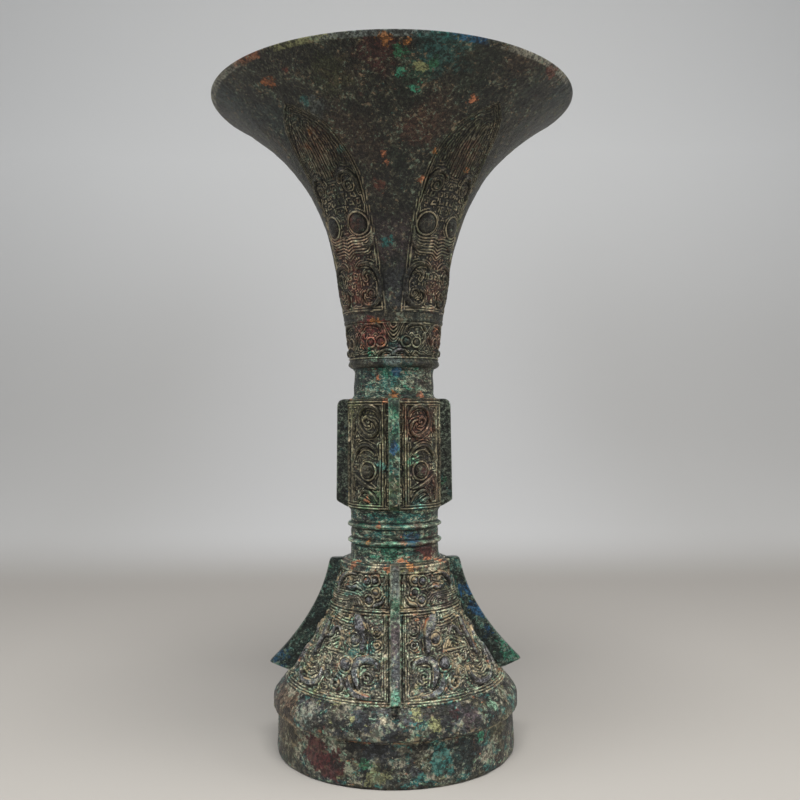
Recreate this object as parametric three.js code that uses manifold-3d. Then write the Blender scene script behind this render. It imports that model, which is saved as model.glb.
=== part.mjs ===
// Bronze gu: a trumpet-mouthed ritual beaker on a flared foot, cast in sections that are
// stacked and joined along the mouldings, with eight upright flanges on the waist and foot.
// Millimetres, +Z up, origin at the centre of the foot's resting face, front flange at -Y.
import * as THREE from "three";
import Module from "manifold-3d";
import { mergeVertices } from "three/addons/utils/BufferGeometryUtils.js";

const wasm = await Module();
wasm.setup();

// Casting
const wall = 1.8; // thickness of every cast wall
const facets = 32; // sides of every turned piece
const lapDepth = 2; // length of the centring spigot under each section
const lapThickness = 0.8; // wall of that spigot
const lapClearance = 0.15; // play round it

// Foot ring: plain upright base with a rounded shoulder that overhangs it
const baseRadius = 58.6;
const baseHeight = 21;
const baseEdgeRound = 1.2;
const restingWidth = 1.6; // flat edge that the vessel stands on
const shoulderSetback = 58.2; // radius just under the shoulder
const shoulderLipRadius = 59.6; // sharp lower edge of the shoulder
const shoulderLipRise = 0.7;
const shoulderRadius = 60.4;
const shoulderMiddleRise = 4.8; // above the base, like the next
const shoulderCrownRadius = 59.4;
const shoulderCrownRise = 7.6;
const footRingHeight = 34.5;

// Foot bell: two decorated zones on a concave flare
const bellFootRadius = 54.6;
const bellTopRadius = 27;
const bellHeight = 58.5;
const bellBow = 0.28; // share of the flare that is straight
const bellShoulderDrop = 1.8; // sloping shelf up to the stem
const bellFootThickening = 1.6; // extra wall where the bell leans out over its seat

// Stem: plain collar with two raised bow-strings
const stemRadius = 21.7;
const stemHeight = 24.5;
const bowstringProud = 1.3;
const bowstringHalfWidth = 2.2;
const bowstringHeights = [8.6, 16.6]; // above the foot of the stem
const stemFillet = 1.2; // hollow rounding under the waist

// Waist drum
const waistRadius = 23.2;
const waistHeight = 54;
const floorThickness = 2;
const floorClearance = 0.2;
const floorLedge = 2; // thickness of the ledge that carries the cup floor

// Neck
const collarRadius = 19.6;
const collarBulge = 0.4;
const collarBulgeSpan = 0.8; // share of its height that bulges
const collarFillet = 1.8; // hollow rounding on top of the waist
const collarHeight = 14.8;
const bandFootRadius = 22.3;
const bandTopRadius = 24;
const bandHeight = 26.2;
const astragalRadius = 22.9; // rounded moulding under the band
const astragalRootRadius = 20.2;
const astragalHeight = 4.2;
const filletRadius = 25; // plain fillet over the band
const filletHeight = 4.4;
const filletLean = 0.2;
const filletStep = 0.4; // height of the slope that leads out to it

// Trumpet
const trumpetFootRadius = 25.1;
const mouthRadius = 90;
const trumpetHeight = 107.5;
const flareStraight = 0.243; // share of the flare that is straight
const flarePower = 3.43; // how late the rest of it opens
const lipHeight = 1.8; // edge of the lip
const lipLean = 1.4; // how far that edge leans out
const lipThickness = 1.44;

// Flanges
const waistFlangeThickness = 5.6;
const waistFlangeTopReach = 28.4;
const waistFlangeFootReach = 29;
const waistFlangeCorner = 2.8; // cut corner at the top
const waistFlangeFootSlope = 3.4; // rise of its slanting underside
const footFlangeThickness = 4.6;
const footFlangeTopReach = 32.6;
const footFlangeTopBelowStem = 0.6;
const footFlangeCorner = 0.9; // cut of its top corner
const footFlangeTipReach = 62.8;
const footFlangeTipAboveRing = 8.3;
const footFlangeBendReach = 37.6; // where the tangents of its hollow edge cross
const footFlangeBendAboveTip = 24.1;
const footFlangeSeatAboveRing = 3.6; // where its underside leaves the bell
const footFlangeSeatReach = 52.6;
const footFlangeTipLift = [-1.1, -1.8, -1.8, -5]; // unevenness of the four tips as cast
const tongueThickness = 2.4; // rib that keys a flange into its wall
const tongueDepth = 0.8;
const tongueInset = 3; // how far it stops short of the flange's ends
const tongueRootOverlap = 0.5; // how far it runs up into its flange
const flangeRootDepth = 3; // how far a flange's outline runs into the wall that trims it
const trimOverrun = 1; // how far a trimming outline runs past what it trims
const seatGap = 0.3; // between a flange and what it is seated in

// Relief: each form is a raised stroke through [across, up, half-width] points, where across
// is measured round the wall from a mirror line and up along it from the foot of its zone.
const reliefProud = 1.1; // height of the forms over the wall
const reliefSink = 0.6; // depth of their roots in it
const reliefTopShare = 0.6; // width of their flat tops beside that of their roots
const bossProud = 1.7; // height of the eyes and bosses
const bossTopShare = 0.6;
const bossEdgeShare = 0.35; // height of a boss's upright edge beside its own
const bossSides = 8;
const bellForms = {
  nose: [[17.2, 40.2, 0.7], [14.9, 33, 1.8], [15.8, 24.2, 2]],
  curl: [[8.1, 17.2, 0.7], [12.4, 21.1, 1.7], [18.6, 16.4, 1.9], [17.2, 8, 0.8]],
  fang: [[21.8, 13, 0.7], [20.4, 6.4, 1.7], [11.6, 4.4, 0.7]],
  horn: [[36.6, 37.4, 0.7], [40.6, 31.4, 1.5], [47.8, 18, 0.7]],
  wing: [[38, 14, 0.7], [41.4, 7.6, 1.3], [55.6, 7.6, 1.4], [58.6, 16, 0.7]],
};
const bellBosses = [[19.5, 30.2, 2.5], [24, 18.3, 2.9]];
const waistForms = {
  whorl: [[8.2, 48.4, 0.7], [14.6, 50.2, 1.4], [19, 43.2, 1.6], [12.6, 36.6, 1.3], [8.6, 41, 0.7]],
  brow: [[8.6, 28.4, 0.7], [16.4, 32.2, 1.4], [22, 25.2, 0.7]],
  cheek: [[23.6, 17.6, 0.7], [16.4, 13.4, 1.3], [9.2, 10.8, 0.7]],
};
const waistBosses = [[13.6, 19.3, 3.6]];
const bladeHalfWidth = 17.4; // of the four blades that climb the trumpet
const bladeFoot = 1.5;
const bladeStraight = 78; // where a blade starts to narrow
const bladeLength = 104;
const bladeFullness = 0.8; // below 1 for a fuller point
const bladeBorderHalf = 0.7;
const bladeBosses = [[8.9, 42.4, 4.6]];

// Heights of the seats between the sections
const bellFoot = footRingHeight;
const stemFoot = bellFoot + bellHeight;
const waistFoot = stemFoot + stemHeight;
const collarFoot = waistFoot + waistHeight;
const bandFoot = collarFoot + collarHeight;
const trumpetFoot = bandFoot + bandHeight;
const rimHeight = trumpetFoot + trumpetHeight;

const bronze = (color, roughness) =>
  new THREE.MeshStandardMaterial({ color, roughness, metalness: 0.35 });
const darkBronze = bronze(0x3a3a33, 0.62);
const greenBronze = bronze(0x3f5a4c, 0.68);
const flangeBronze = bronze(0x2f4a40, 0.66);

// How finely the curved walls and strokes are divided
const bellSteps = 7;
const trumpetSteps = 11;
const collarSteps = 3;
const astragalSteps = 4;
const filletSteps = 2;
const flangeEdgeSteps = 12;
const strokeSteps = 2; // between two points of a stroke
const bladeSteps = 7;

// Points along a curve given as r(t) for t from 0 to 1 between two heights.
function sweepPoints(radiusAt, from, to, steps) {
  return Array.from({ length: steps + 1 }, (_, i) => {
    const t = i / steps;
    return [radiusAt(t), from + (to - from) * t];
  });
}

// Moves an outline of [radius, height] points inward by the wall, square to the outline.
function insideOf(points, thickness) {
  return points.map((point, i) => {
    const before = points[Math.max(i - 1, 0)];
    const after = points[Math.min(i + 1, points.length - 1)];
    const along = new THREE.Vector2(after[0] - before[0], after[1] - before[1]).normalize();
    return [point[0] - along.y * thickness, point[1] + along.x * thickness];
  });
}

// A turned shell from an outer outline and an inner one, both listed from foot to head.
function turned(outer, inner) {
  const outline = [...outer, ...[...inner].reverse()];
  const points = [...outline, outline[0]].map(([r, z]) => new THREE.Vector2(r, z));
  const geometry = new THREE.LatheGeometry(points, facets);
  geometry.rotateX(Math.PI / 2);
  return geometry;
}

// Keeps the points of an inner outline that lie between two heights.
const between = (points, low, high) =>
  points.filter(([, z]) => z > low + seatGap && z < high - seatGap);

// A hollow rounding between an upright wall and a flat seat, from the seat along the wall.
const hollowFillet = (radius, seat, size, direction) =>
  Array.from({ length: filletSteps + 1 }, (_, i) => {
    const turn = (Math.PI / 2) * (i / filletSteps);
    return [radius + size * (1 - Math.sin(turn)), seat + direction * size * (1 - Math.cos(turn))];
  });

// Foot of a section: the spigot that centres it in the section below.
const spigot = (seat, bore) => [
  [bore + lapThickness, seat],
  [bore + lapThickness, seat - lapDepth],
];

// Head of a section: the rebate that takes the spigot of the section above.
const rebate = (seat, bore) => [
  [bore, seat - lapDepth - lapClearance],
  [bore + lapThickness + lapClearance, seat - lapDepth - lapClearance],
  [bore + lapThickness + lapClearance, seat],
];

function merged(geometry) {
  geometry.deleteAttribute("normal");
  geometry.deleteAttribute("uv");
  return mergeVertices(geometry, 1e-4);
}

function solidFrom(geometry) {
  const shape = merged(geometry);
  return new wasm.Manifold(
    new wasm.Mesh({
      numProp: 3,
      vertProperties: new Float32Array(shape.attributes.position.array),
      triVerts: new Uint32Array(shape.index.array),
    }),
  );
}

function geometryFrom(solid) {
  const mesh = solid.getMesh();
  const geometry = new THREE.BufferGeometry();
  geometry.setAttribute("position", new THREE.BufferAttribute(mesh.vertProperties, 3));
  geometry.setIndex(new THREE.BufferAttribute(mesh.triVerts, 1));
  geometry.computeVertexNormals();
  return geometry;
}

const vessel = new THREE.Group();

function add(name, geometry, material) {
  const mesh = new THREE.Mesh(geometry, material);
  mesh.name = name;
  vessel.add(mesh);
  return mesh;
}

// Bores at the seats, so that both neighbours take them from the same value.
const boreAtBell = bellFootRadius - wall - bellFootThickening;
const boreAtStem = stemRadius - wall;
const boreAtWaist = stemRadius - wall;
const boreAtCollar = collarRadius - wall;
const boreAtBand = collarRadius - wall;
const boreAtTrumpet = trumpetFootRadius - wall;

// Outline of the bell's wall, from its foot to the edge of its shelf.
const flareOfBell = (t) => {
  const fall = 1 - t;
  const share = bellBow * fall + (1 - bellBow) * fall * fall;
  return bellTopRadius + (bellFootRadius - bellTopRadius) * share;
};
const bellShelf = stemFoot - bellShoulderDrop;
const bellOutline = sweepPoints(flareOfBell, bellFoot, bellShelf, bellSteps);

function footRing() {
  const shoulderMiddle = baseHeight + shoulderMiddleRise;
  const outer = [
    [baseRadius - baseEdgeRound, 0],
    [baseRadius, baseEdgeRound],
    [shoulderSetback, baseHeight],
    [shoulderLipRadius, baseHeight + shoulderLipRise],
    [shoulderRadius, shoulderMiddle],
    [shoulderCrownRadius, baseHeight + shoulderCrownRise],
    [bellFootRadius, bellFoot],
  ];
  const inner = [
    [baseRadius - baseEdgeRound - restingWidth, 0],
    [shoulderSetback - wall, baseHeight - wall],
    [shoulderRadius - wall, shoulderMiddle],
    ...rebate(bellFoot, boreAtBell),
  ];
  return turned(outer, inner);
}

function footBell() {
  const innerWall = insideOf(bellOutline, wall);
  const outer = [...spigot(bellFoot, boreAtBell).reverse(), ...bellOutline, [stemRadius, stemFoot]];
  const inner = [
    [boreAtBell, bellFoot - lapDepth],
    ...between(innerWall, bellFoot - lapDepth, bellShelf - wall),
    ...rebate(stemFoot, boreAtStem),
  ];
  return turned(outer, inner);
}

function stemCollar() {
  const outer = [...spigot(stemFoot, boreAtStem).reverse(), [stemRadius, stemFoot]];
  for (const height of bowstringHeights) {
    const middle = stemFoot + height;
    outer.push(
      [stemRadius, middle - bowstringHalfWidth],
      [stemRadius + bowstringProud, middle],
      [stemRadius, middle + bowstringHalfWidth],
    );
  }
  outer.push(...hollowFillet(stemRadius, waistFoot, stemFillet, -1).reverse());
  const inner = [[boreAtStem, stemFoot - lapDepth], ...rebate(waistFoot, boreAtWaist)];
  return turned(outer, inner);
}

function waistDrum() {
  const outer = [
    ...spigot(waistFoot, boreAtWaist).reverse(),
    [waistRadius, waistFoot],
    [waistRadius, collarFoot],
  ];
  const cup = waistRadius - wall;
  const inner = [
    [boreAtWaist, waistFoot - lapDepth],
    [boreAtWaist, waistFoot + floorLedge],
    [cup, waistFoot + floorLedge],
    [cup, collarFoot - lapDepth - wall - lapClearance],
    ...rebate(collarFoot, boreAtCollar),
  ];
  return turned(outer, inner);
}

function cupFloor() {
  const radius = waistRadius - wall - floorClearance;
  const seat = waistFoot + floorLedge;
  const points = [
    [0, seat],
    [radius, seat],
    [radius, seat + floorThickness],
    [0, seat + floorThickness],
  ].map(([r, z]) => new THREE.Vector2(r, z));
  const geometry = new THREE.LatheGeometry(points, facets);
  geometry.rotateX(Math.PI / 2);
  return geometry;
}

function neckCollar() {
  const bulge = (t) =>
    collarRadius + collarBulge * Math.sin(Math.PI * Math.min(1, t / collarBulgeSpan)) ** 2;
  const outer = [
    ...spigot(collarFoot, boreAtCollar).reverse(),
    ...hollowFillet(collarRadius, collarFoot, collarFillet, 1),
    ...sweepPoints(bulge, collarFoot + collarFillet, bandFoot, collarSteps).slice(1),
  ];
  const inner = [[boreAtCollar, collarFoot - lapDepth], ...rebate(bandFoot, boreAtBand)];
  return turned(outer, inner);
}

function neckBand() {
  const astragalTop = bandFoot + astragalHeight;
  const filletFoot = trumpetFoot - filletHeight;
  const astragalSwell = astragalRadius - astragalRootRadius;
  const astragal = (t) => astragalRootRadius + astragalSwell * Math.sqrt(Math.sin(Math.PI * t));
  const outer = [
    ...spigot(bandFoot, boreAtBand).reverse(),
    ...sweepPoints(astragal, bandFoot, astragalTop, astragalSteps).slice(0, -1),
    [bandFootRadius, astragalTop],
    [bandTopRadius, filletFoot],
    [filletRadius - filletLean, filletFoot + filletStep],
    [filletRadius, trumpetFoot],
  ];
  const inner = [
    [boreAtBand, bandFoot - lapDepth],
    [boreAtBand, bandFoot],
    [bandFootRadius - wall, astragalTop + wall],
    ...rebate(trumpetFoot, boreAtTrumpet),
  ];
  return turned(outer, inner);
}

const lipFoot = rimHeight - lipHeight;
const flareOfTrumpet = (t) => {
  const share = flareStraight * t + (1 - flareStraight) * t ** flarePower;
  return trumpetFootRadius + (mouthRadius - lipLean - trumpetFootRadius) * share;
};
const trumpetOutline = sweepPoints(flareOfTrumpet, trumpetFoot, lipFoot, trumpetSteps);

function mouthTrumpet() {
  const innerWall = insideOf(trumpetOutline, wall);
  const outer = [
    ...spigot(trumpetFoot, boreAtTrumpet).reverse(),
    ...trumpetOutline,
    [mouthRadius, rimHeight],
  ];
  const inner = [
    [boreAtTrumpet, trumpetFoot - lapDepth],
    ...between(innerWall, trumpetFoot, rimHeight),
    [mouthRadius - lipThickness, rimHeight],
  ];
  return turned(outer, inner);
}

// A place on a turned wall: across it from the front, up along its outline and out from it.
function placeOnWall(wallOutline, across, up, out) {
  let rest = up;
  let i = 1;
  let step = wallStep(wallOutline, i);
  while (rest > step.length() && i < wallOutline.length - 1) {
    rest -= step.length();
    i += 1;
    step = wallStep(wallOutline, i);
  }
  step.normalize();
  const [startRadius, startHeight] = wallOutline[i - 1];
  const wallRadius = startRadius + step.x * rest;
  const angle = across / wallRadius;
  const radius = wallRadius + step.y * out;
  const height = startHeight + step.y * rest - step.x * out;
  return new THREE.Vector3(radius * Math.sin(angle), -radius * Math.cos(angle), height);
}

function wallStep(wallOutline, i) {
  const [before, after] = [wallOutline[i - 1], wallOutline[i]];
  return new THREE.Vector2(after[0] - before[0], after[1] - before[1]);
}

// A raised stroke with a flat top and sloping sides, lofted along a smooth curve on a wall.
function stroke(wallOutline, points, steps = strokeSteps) {
  const curve = new THREE.CatmullRomCurve3(points.map((point) => new THREE.Vector3(...point)));
  const stations = steps * (points.length - 1);
  const corners = [];
  for (let i = 0; i <= stations; i += 1) {
    const middle = curve.getPoint(i / stations);
    const along = curve.getTangent(i / stations);
    const beside = new THREE.Vector2(-along.y, along.x).normalize();
    const root = middle.z;
    const top = middle.z * reliefTopShare;
    const section = [
      [-root, -reliefSink],
      [root, -reliefSink],
      [top, reliefProud],
      [-top, reliefProud],
    ];
    for (const [away, out] of section) {
      const across = middle.x + beside.x * away;
      const up = middle.y + beside.y * away;
      corners.push(placeOnWall(wallOutline, across, up, out));
    }
  }
  return loft(corners, corners.length / (stations + 1));
}

// A closed body through rings of corners that follow each other.
function loft(corners, ring) {
  const index = [];
  const last = corners.length - ring;
  for (let start = 0; start < last; start += ring) {
    for (let j = 0; j < ring; j += 1) {
      const a = start + j;
      const b = start + ((j + 1) % ring);
      index.push(a, b, b + ring, a, b + ring, a + ring);
    }
  }
  for (let j = 1; j < ring - 1; j += 1) {
    index.push(0, j + 1, j, last, last + j, last + j + 1);
  }
  const geometry = new THREE.BufferGeometry().setFromPoints(corners);
  geometry.setIndex(index);
  return solidFrom(geometry);
}

// A domed eye or boss, turned about the line that stands square on the wall.
function boss(wallOutline, [across, up, radius]) {
  const profile = [
    [0, -reliefSink],
    [radius, -reliefSink],
    [radius, bossProud * bossEdgeShare],
    [radius * bossTopShare, bossProud],
    [0, bossProud],
  ].map(([r, out]) => new THREE.Vector2(r, out));
  const geometry = new THREE.LatheGeometry(profile, bossSides);
  const foot = placeOnWall(wallOutline, across, up, 0);
  const square = placeOnWall(wallOutline, across, up, 1).sub(foot);
  const upright = new THREE.Vector3(0, 1, 0);
  geometry.applyQuaternion(new THREE.Quaternion().setFromUnitVectors(upright, square));
  geometry.translate(foot.x, foot.y, foot.z);
  return solidFrom(geometry);
}

const raisedOn = (wallOutline, forms, bosses) => [
  ...Object.values(forms).map((points) => stroke(wallOutline, points)),
  ...bosses.map((place) => boss(wallOutline, place)),
];

// One long side of a blade, from its foot up to its point.
function bladeBorder() {
  const halfWidth = (up) => {
    const t = Math.max(0, (up - bladeStraight) / (bladeLength - bladeStraight));
    return bladeHalfWidth * Math.cos((Math.PI / 2) * t) ** bladeFullness;
  };
  return Array.from({ length: bladeSteps + 1 }, (_, i) => {
    const up = bladeFoot + (bladeLength - bladeFoot) * (i / bladeSteps);
    return [halfWidth(up), up, bladeBorderHalf];
  });
}

// Joins raised forms to a section: each with its mirror image, round every mirror line.
function withRelief(section, raised, mirrorLines) {
  let body = section;
  for (const line of mirrorLines) {
    for (const form of raised) {
      const image = form.mirror([1, 0, 0]);
      body = body.add(form.rotate([0, 0, line])).add(image.rotate([0, 0, line]));
    }
  }
  return body;
}

// An upright plate facing +X, cut from an outline of [reach, height] points.
function plate(outline, thickness) {
  const shape = new THREE.Shape(outline.map(([r, z]) => new THREE.Vector2(r, z)));
  const geometry = new THREE.ExtrudeGeometry(shape, { depth: thickness, bevelEnabled: false });
  geometry.translate(0, 0, -thickness / 2);
  geometry.rotateX(Math.PI / 2);
  return solidFrom(geometry);
}

// The body of the vessel inside a wall's outline, moved out from it by a distance.
function core(wallOutline, distance) {
  const points = insideOf(wallOutline, -distance);
  const [foot, head] = [points[0], points[points.length - 1]];
  const profile = [[0, foot[1]], ...points, [0, head[1]]].map(([r, z]) => new THREE.Vector2(r, z));
  const geometry = new THREE.LatheGeometry(profile, facets);
  geometry.rotateX(Math.PI / 2);
  return solidFrom(geometry);
}

// The strip along a wall, between two heights, that a flange's tongue takes up.
function keyStrip(wallOutline, low, high) {
  const reach = Math.max(...wallOutline.map(([r]) => r)) + trimOverrun;
  return [
    [stemRadius - wall, low],
    [reach, low],
    [reach, high],
    [stemRadius - wall, high],
  ];
}

// A flange with the tongue along its root, and the slot that the wall needs for it.
function keyedFlange(outline, thickness, wallOutline, low, high) {
  const strip = keyStrip(wallOutline, low, high);
  const blade = plate(outline, thickness).subtract(core(wallOutline, seatGap));
  const tongue = plate(strip, tongueThickness)
    .intersect(core(wallOutline, seatGap + tongueRootOverlap))
    .subtract(core(wallOutline, -tongueDepth));
  return blade.add(tongue);
}

function keySlot(wallOutline, low, high) {
  const strip = keyStrip(wallOutline, low - seatGap, high + seatGap);
  return plate(strip, tongueThickness + 2 * seatGap).subtract(
    core(wallOutline, -tongueDepth - seatGap),
  );
}

function waistFlangeOutline() {
  const top = collarFoot;
  const root = waistRadius - flangeRootDepth;
  const cut = waistFlangeCorner * (1 - Math.SQRT1_2);
  return [
    [root, waistFoot],
    [waistRadius + seatGap, waistFoot],
    [waistFlangeFootReach, waistFoot + waistFlangeFootSlope],
    [waistFlangeTopReach, top - waistFlangeCorner],
    [waistFlangeTopReach - cut, top - cut],
    [waistFlangeTopReach - waistFlangeCorner, top],
    [root, top],
  ];
}

function footFlangeOutline(tipLift) {
  const top = stemFoot - footFlangeTopBelowStem;
  const tip = bellFoot + footFlangeTipAboveRing + tipLift;
  const edge = new THREE.QuadraticBezierCurve(
    new THREE.Vector2(footFlangeTopReach, top - footFlangeCorner),
    new THREE.Vector2(footFlangeBendReach, tip + footFlangeBendAboveTip),
    new THREE.Vector2(footFlangeTipReach, tip),
  );
  const seat = bellFoot + footFlangeSeatAboveRing + tipLift / 2;
  const root = bellTopRadius - flangeRootDepth;
  return [
    [root, top],
    [root, seat],
    [footFlangeSeatReach, seat],
    ...edge.getPoints(flangeEdgeSteps).map((p) => [p.x, p.y]).reverse(),
    [footFlangeTopReach - footFlangeCorner, top],
  ];
}

const sides = ["right", "back", "left", "front"];
const quarter = (i) => (360 / sides.length) * i;

const drumWall = [
  [waistRadius, waistFoot],
  [waistRadius, collarFoot],
];
const drumOutline = [
  [waistRadius, waistFoot - trimOverrun],
  [waistRadius, collarFoot + trimOverrun],
];
const shelvedBellOutline = [
  ...bellOutline,
  [stemRadius + seatGap, stemFoot],
  [stemRadius + seatGap, stemFoot + trimOverrun],
];

const flangedMirrorLines = ["front", "back"].map((side) => quarter(sides.indexOf(side) + 1));
const bladeMirrorLines = sides.map((_, i) => quarter(i) + quarter(1) / 2);

// Cuts the four tongue slots out of a section and adds it, then adds its flanges.
function addFlangedSection({ name, section, material, zone, outlineOf, thickness, wallOutline }) {
  const low = Math.min(...outlineOf(0).map(([, z]) => z)) + tongueInset;
  const high = Math.max(...outlineOf(0).map(([, z]) => z)) - tongueInset;
  const slot = keySlot(wallOutline, low, high);
  let body = section;
  sides.forEach((side, i) => {
    body = body.subtract(slot.rotate([0, 0, quarter(i)]));
    const flange = keyedFlange(outlineOf(i), thickness, wallOutline, low, high);
    const turned = geometryFrom(flange.rotate([0, 0, quarter(i)]));
    add(`${zone}_flange_${side}`, turned, flangeBronze);
  });
  add(name, geometryFrom(body), material);
}

add("foot_ring", footRing(), greenBronze);
addFlangedSection({
  name: "foot_bell",
  section: withRelief(
    solidFrom(footBell()),
    raisedOn(bellOutline, bellForms, bellBosses),
    flangedMirrorLines,
  ),
  material: greenBronze,
  zone: "foot",
  outlineOf: (i) => footFlangeOutline(footFlangeTipLift[i]),
  thickness: footFlangeThickness,
  wallOutline: shelvedBellOutline,
});
add("stem_collar", stemCollar(), greenBronze);
addFlangedSection({
  name: "waist_drum",
  section: withRelief(
    solidFrom(waistDrum()),
    raisedOn(drumWall, waistForms, waistBosses),
    flangedMirrorLines,
  ),
  material: darkBronze,
  zone: "waist",
  outlineOf: () => waistFlangeOutline(),
  thickness: waistFlangeThickness,
  wallOutline: drumOutline,
});
add("cup_floor", cupFloor(), darkBronze);
add("neck_collar", neckCollar(), greenBronze);
add("neck_band", neckBand(), darkBronze);
const trumpetRaised = [
  stroke(trumpetOutline, bladeBorder(), 1),
  ...bladeBosses.map((place) => boss(trumpetOutline, place)),
];
const trumpet = withRelief(solidFrom(mouthTrumpet()), trumpetRaised, bladeMirrorLines);
add("mouth_trumpet", geometryFrom(trumpet), darkBronze);

export default vessel;
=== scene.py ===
# Bronze gu: a trumpet-mouthed beaker on a flared foot. Every cast section is rebuilt round the
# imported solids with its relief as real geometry, and the patina is procedural.
# Vessel sizes are in millimetres and become metres where a mesh is made.
import math

import bpy
import numpy as np
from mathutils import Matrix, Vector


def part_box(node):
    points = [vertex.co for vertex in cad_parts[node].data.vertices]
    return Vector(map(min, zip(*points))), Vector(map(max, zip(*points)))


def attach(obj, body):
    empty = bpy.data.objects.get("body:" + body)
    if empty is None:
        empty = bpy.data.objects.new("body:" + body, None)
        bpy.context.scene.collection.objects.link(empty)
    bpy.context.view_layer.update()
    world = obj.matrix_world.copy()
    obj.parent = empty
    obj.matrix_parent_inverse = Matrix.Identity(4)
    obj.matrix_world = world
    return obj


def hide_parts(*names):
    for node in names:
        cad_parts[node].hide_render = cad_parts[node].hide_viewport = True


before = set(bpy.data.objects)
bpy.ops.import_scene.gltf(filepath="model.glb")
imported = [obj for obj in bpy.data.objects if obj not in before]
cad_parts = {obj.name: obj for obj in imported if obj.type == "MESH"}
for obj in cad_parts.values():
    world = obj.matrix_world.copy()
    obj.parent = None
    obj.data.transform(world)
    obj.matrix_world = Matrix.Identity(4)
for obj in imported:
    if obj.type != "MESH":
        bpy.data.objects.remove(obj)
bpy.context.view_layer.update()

print("frame loaded")

toMetres = 0.001
fullTurn = 2 * math.pi
quarterTurn = math.pi / 2
sideAzimuths = {"front": 0, "right": 90, "back": 180, "left": 270}  # degrees round from the front

# Seats between the sections, read from the solids
topOf = {name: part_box(name)[1].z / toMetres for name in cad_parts}
bellFoot = topOf["foot_ring"]
stemFoot = topOf["foot_bell"]
waistFoot = topOf["stem_collar"]
collarFoot = topOf["waist_drum"]
bandFoot = topOf["neck_collar"]
trumpetFoot = topOf["neck_band"]
rimHeight = topOf["mouth_trumpet"]
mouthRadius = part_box("mouth_trumpet")[1].x / toMetres

wall = 1.8
quality = 1.0


# Curves, noise and outlines
def smoothStep(low, high, value):
    t = np.clip((value - low) / (high - low), 0, 1)
    return t * t * (3 - 2 * t)


latticePrimes = (73856093, 19349663, 83492791)
seedPrime = 2654435
scramble = {"times": 1103515245, "plus": 12345, "again": 48271, "keep": 0x7FFFFFFF, "low": 0xFFFF}


def castNoise(points, size, seed):  # smooth random values from -1 to 1, a new one every size millimetres
    place = points / size
    corner = np.floor(place).astype(np.int64)
    part = place - corner
    part = part * part * (3 - 2 * part)
    total = np.zeros(points.shape[:-1])
    for step in np.ndindex(2, 2, 2):
        at = corner + step
        key = seed * seedPrime
        for axis, prime in enumerate(latticePrimes):
            key = key ^ (at[..., axis] * prime)
        key = (key * scramble["times"] + scramble["plus"]) & scramble["keep"]
        key = ((key ^ (key >> 15)) * scramble["again"]) & scramble["keep"]
        share = np.prod(np.where(step, part, 1 - part), axis=-1)
        total += share * ((key & scramble["low"]) / (scramble["low"] / 2) - 1)
    return total


def bead(distance, place, width):  # a rounded line across a distance, 1 on its middle
    return np.exp(-(((distance - place) / width) ** 2))


def smoothPath(points, perSpan=7):  # a curve through every point, with its width carried along
    points = np.array(points, float)
    padded = np.vstack([2 * points[0] - points[1], points, 2 * points[-1] - points[-2]])
    t = np.linspace(0, 1, perSpan, endpoint=False)[:, None]
    spans = []
    for a, b, c, d in zip(padded, padded[1:], padded[2:], padded[3:]):
        bend, twist = 2 * a - 5 * b + 4 * c - d, 3 * b - a - 3 * c + d
        spans.append(0.5 * (2 * b + (c - a) * t + bend * t**2 + twist * t**3))
    return np.vstack(spans + [points[-1:]])


spiral = {"perTurn": 14, "least": 4, "taper": 0.35}


def spiralPath(centre, outer, inner, turns, start, hand, half):  # radii in mm, start in degrees
    t = np.linspace(0, 1, int(spiral["perTurn"] * turns) + spiral["least"])
    angle = math.radians(start) + hand * fullTurn * turns * t
    reach = outer + (inner - outer) * t
    across, up = centre[0] + reach * np.cos(angle), centre[1] + reach * np.sin(angle)
    return np.column_stack([across, up, half * (1 - spiral["taper"] * t)])


def evenOutline(points, spacing, rounding=0, denseLength=math.inf):
    # [radius, height] points at even steps along the section, twice as far apart past the dense length
    points = np.array(points, float)
    length = np.concatenate([[0], np.cumsum(np.hypot(*np.diff(points, axis=0).T))])
    along = np.linspace(0, length[-1], max(3, int(length[-1] / spacing * quality)) + 1)
    past = along > denseLength
    keep = ~past | (np.cumsum(past) % 2 == 0)
    keep[-1] = True
    along = along[keep]
    line = np.column_stack([np.interp(along, length, points[:, column]) for column in (0, 1)])
    for _ in range(rounding):
        line[1:-1] = (line[:-2] + 2 * line[1:-1] + line[2:]) / 4
    return line, along


# Relief sheets: height fields drawn flat, in millimetres, and wrapped round the sections later
sheetCell = 0.16
nearLimit = 7.0  # how far a form rules the lines round it
farAway = 1e3
carving = {"rimInset": 0.5, "rimWidth": 0.3, "channelFrom": 0.9, "channelFull": 1.5, "channelWidth": 0.32,
           "formLift": 0.6, "grooveEdge": 0.5}
eyeShape = {"fullness": 0.6, "ringWidth": 0.42, "border": 0.9, "socket": 0.1, "socketWidth": 0.25,
            "socketDepth": 0.45, "slitHalf": 0.45, "slitEdge": 0.6, "slitDepth": 0.4, "collar": 0.6}


def newSheet(wide, tall):
    u, v = np.meshgrid(np.arange(0, wide + sheetCell, sheetCell), np.arange(0, tall + sheetCell, sheetCell))
    layers = {label: np.zeros_like(u) for label in ("rise", "cut", "form", "edge")}
    return {"u": u, "v": v, **layers, "near": np.full_like(u, nearLimit)}


def partOf(sheet, points, reach):
    low = np.floor((points.min(axis=0) - reach) / sheetCell).astype(int)
    high = np.ceil((points.max(axis=0) + reach) / sheetCell).astype(int) + 1
    up, across = (slice(max(low[axis], 0), min(max(high[axis], 0), sheet["u"].shape[1 - axis]))
                  for axis in (1, 0))
    return up, across


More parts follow.
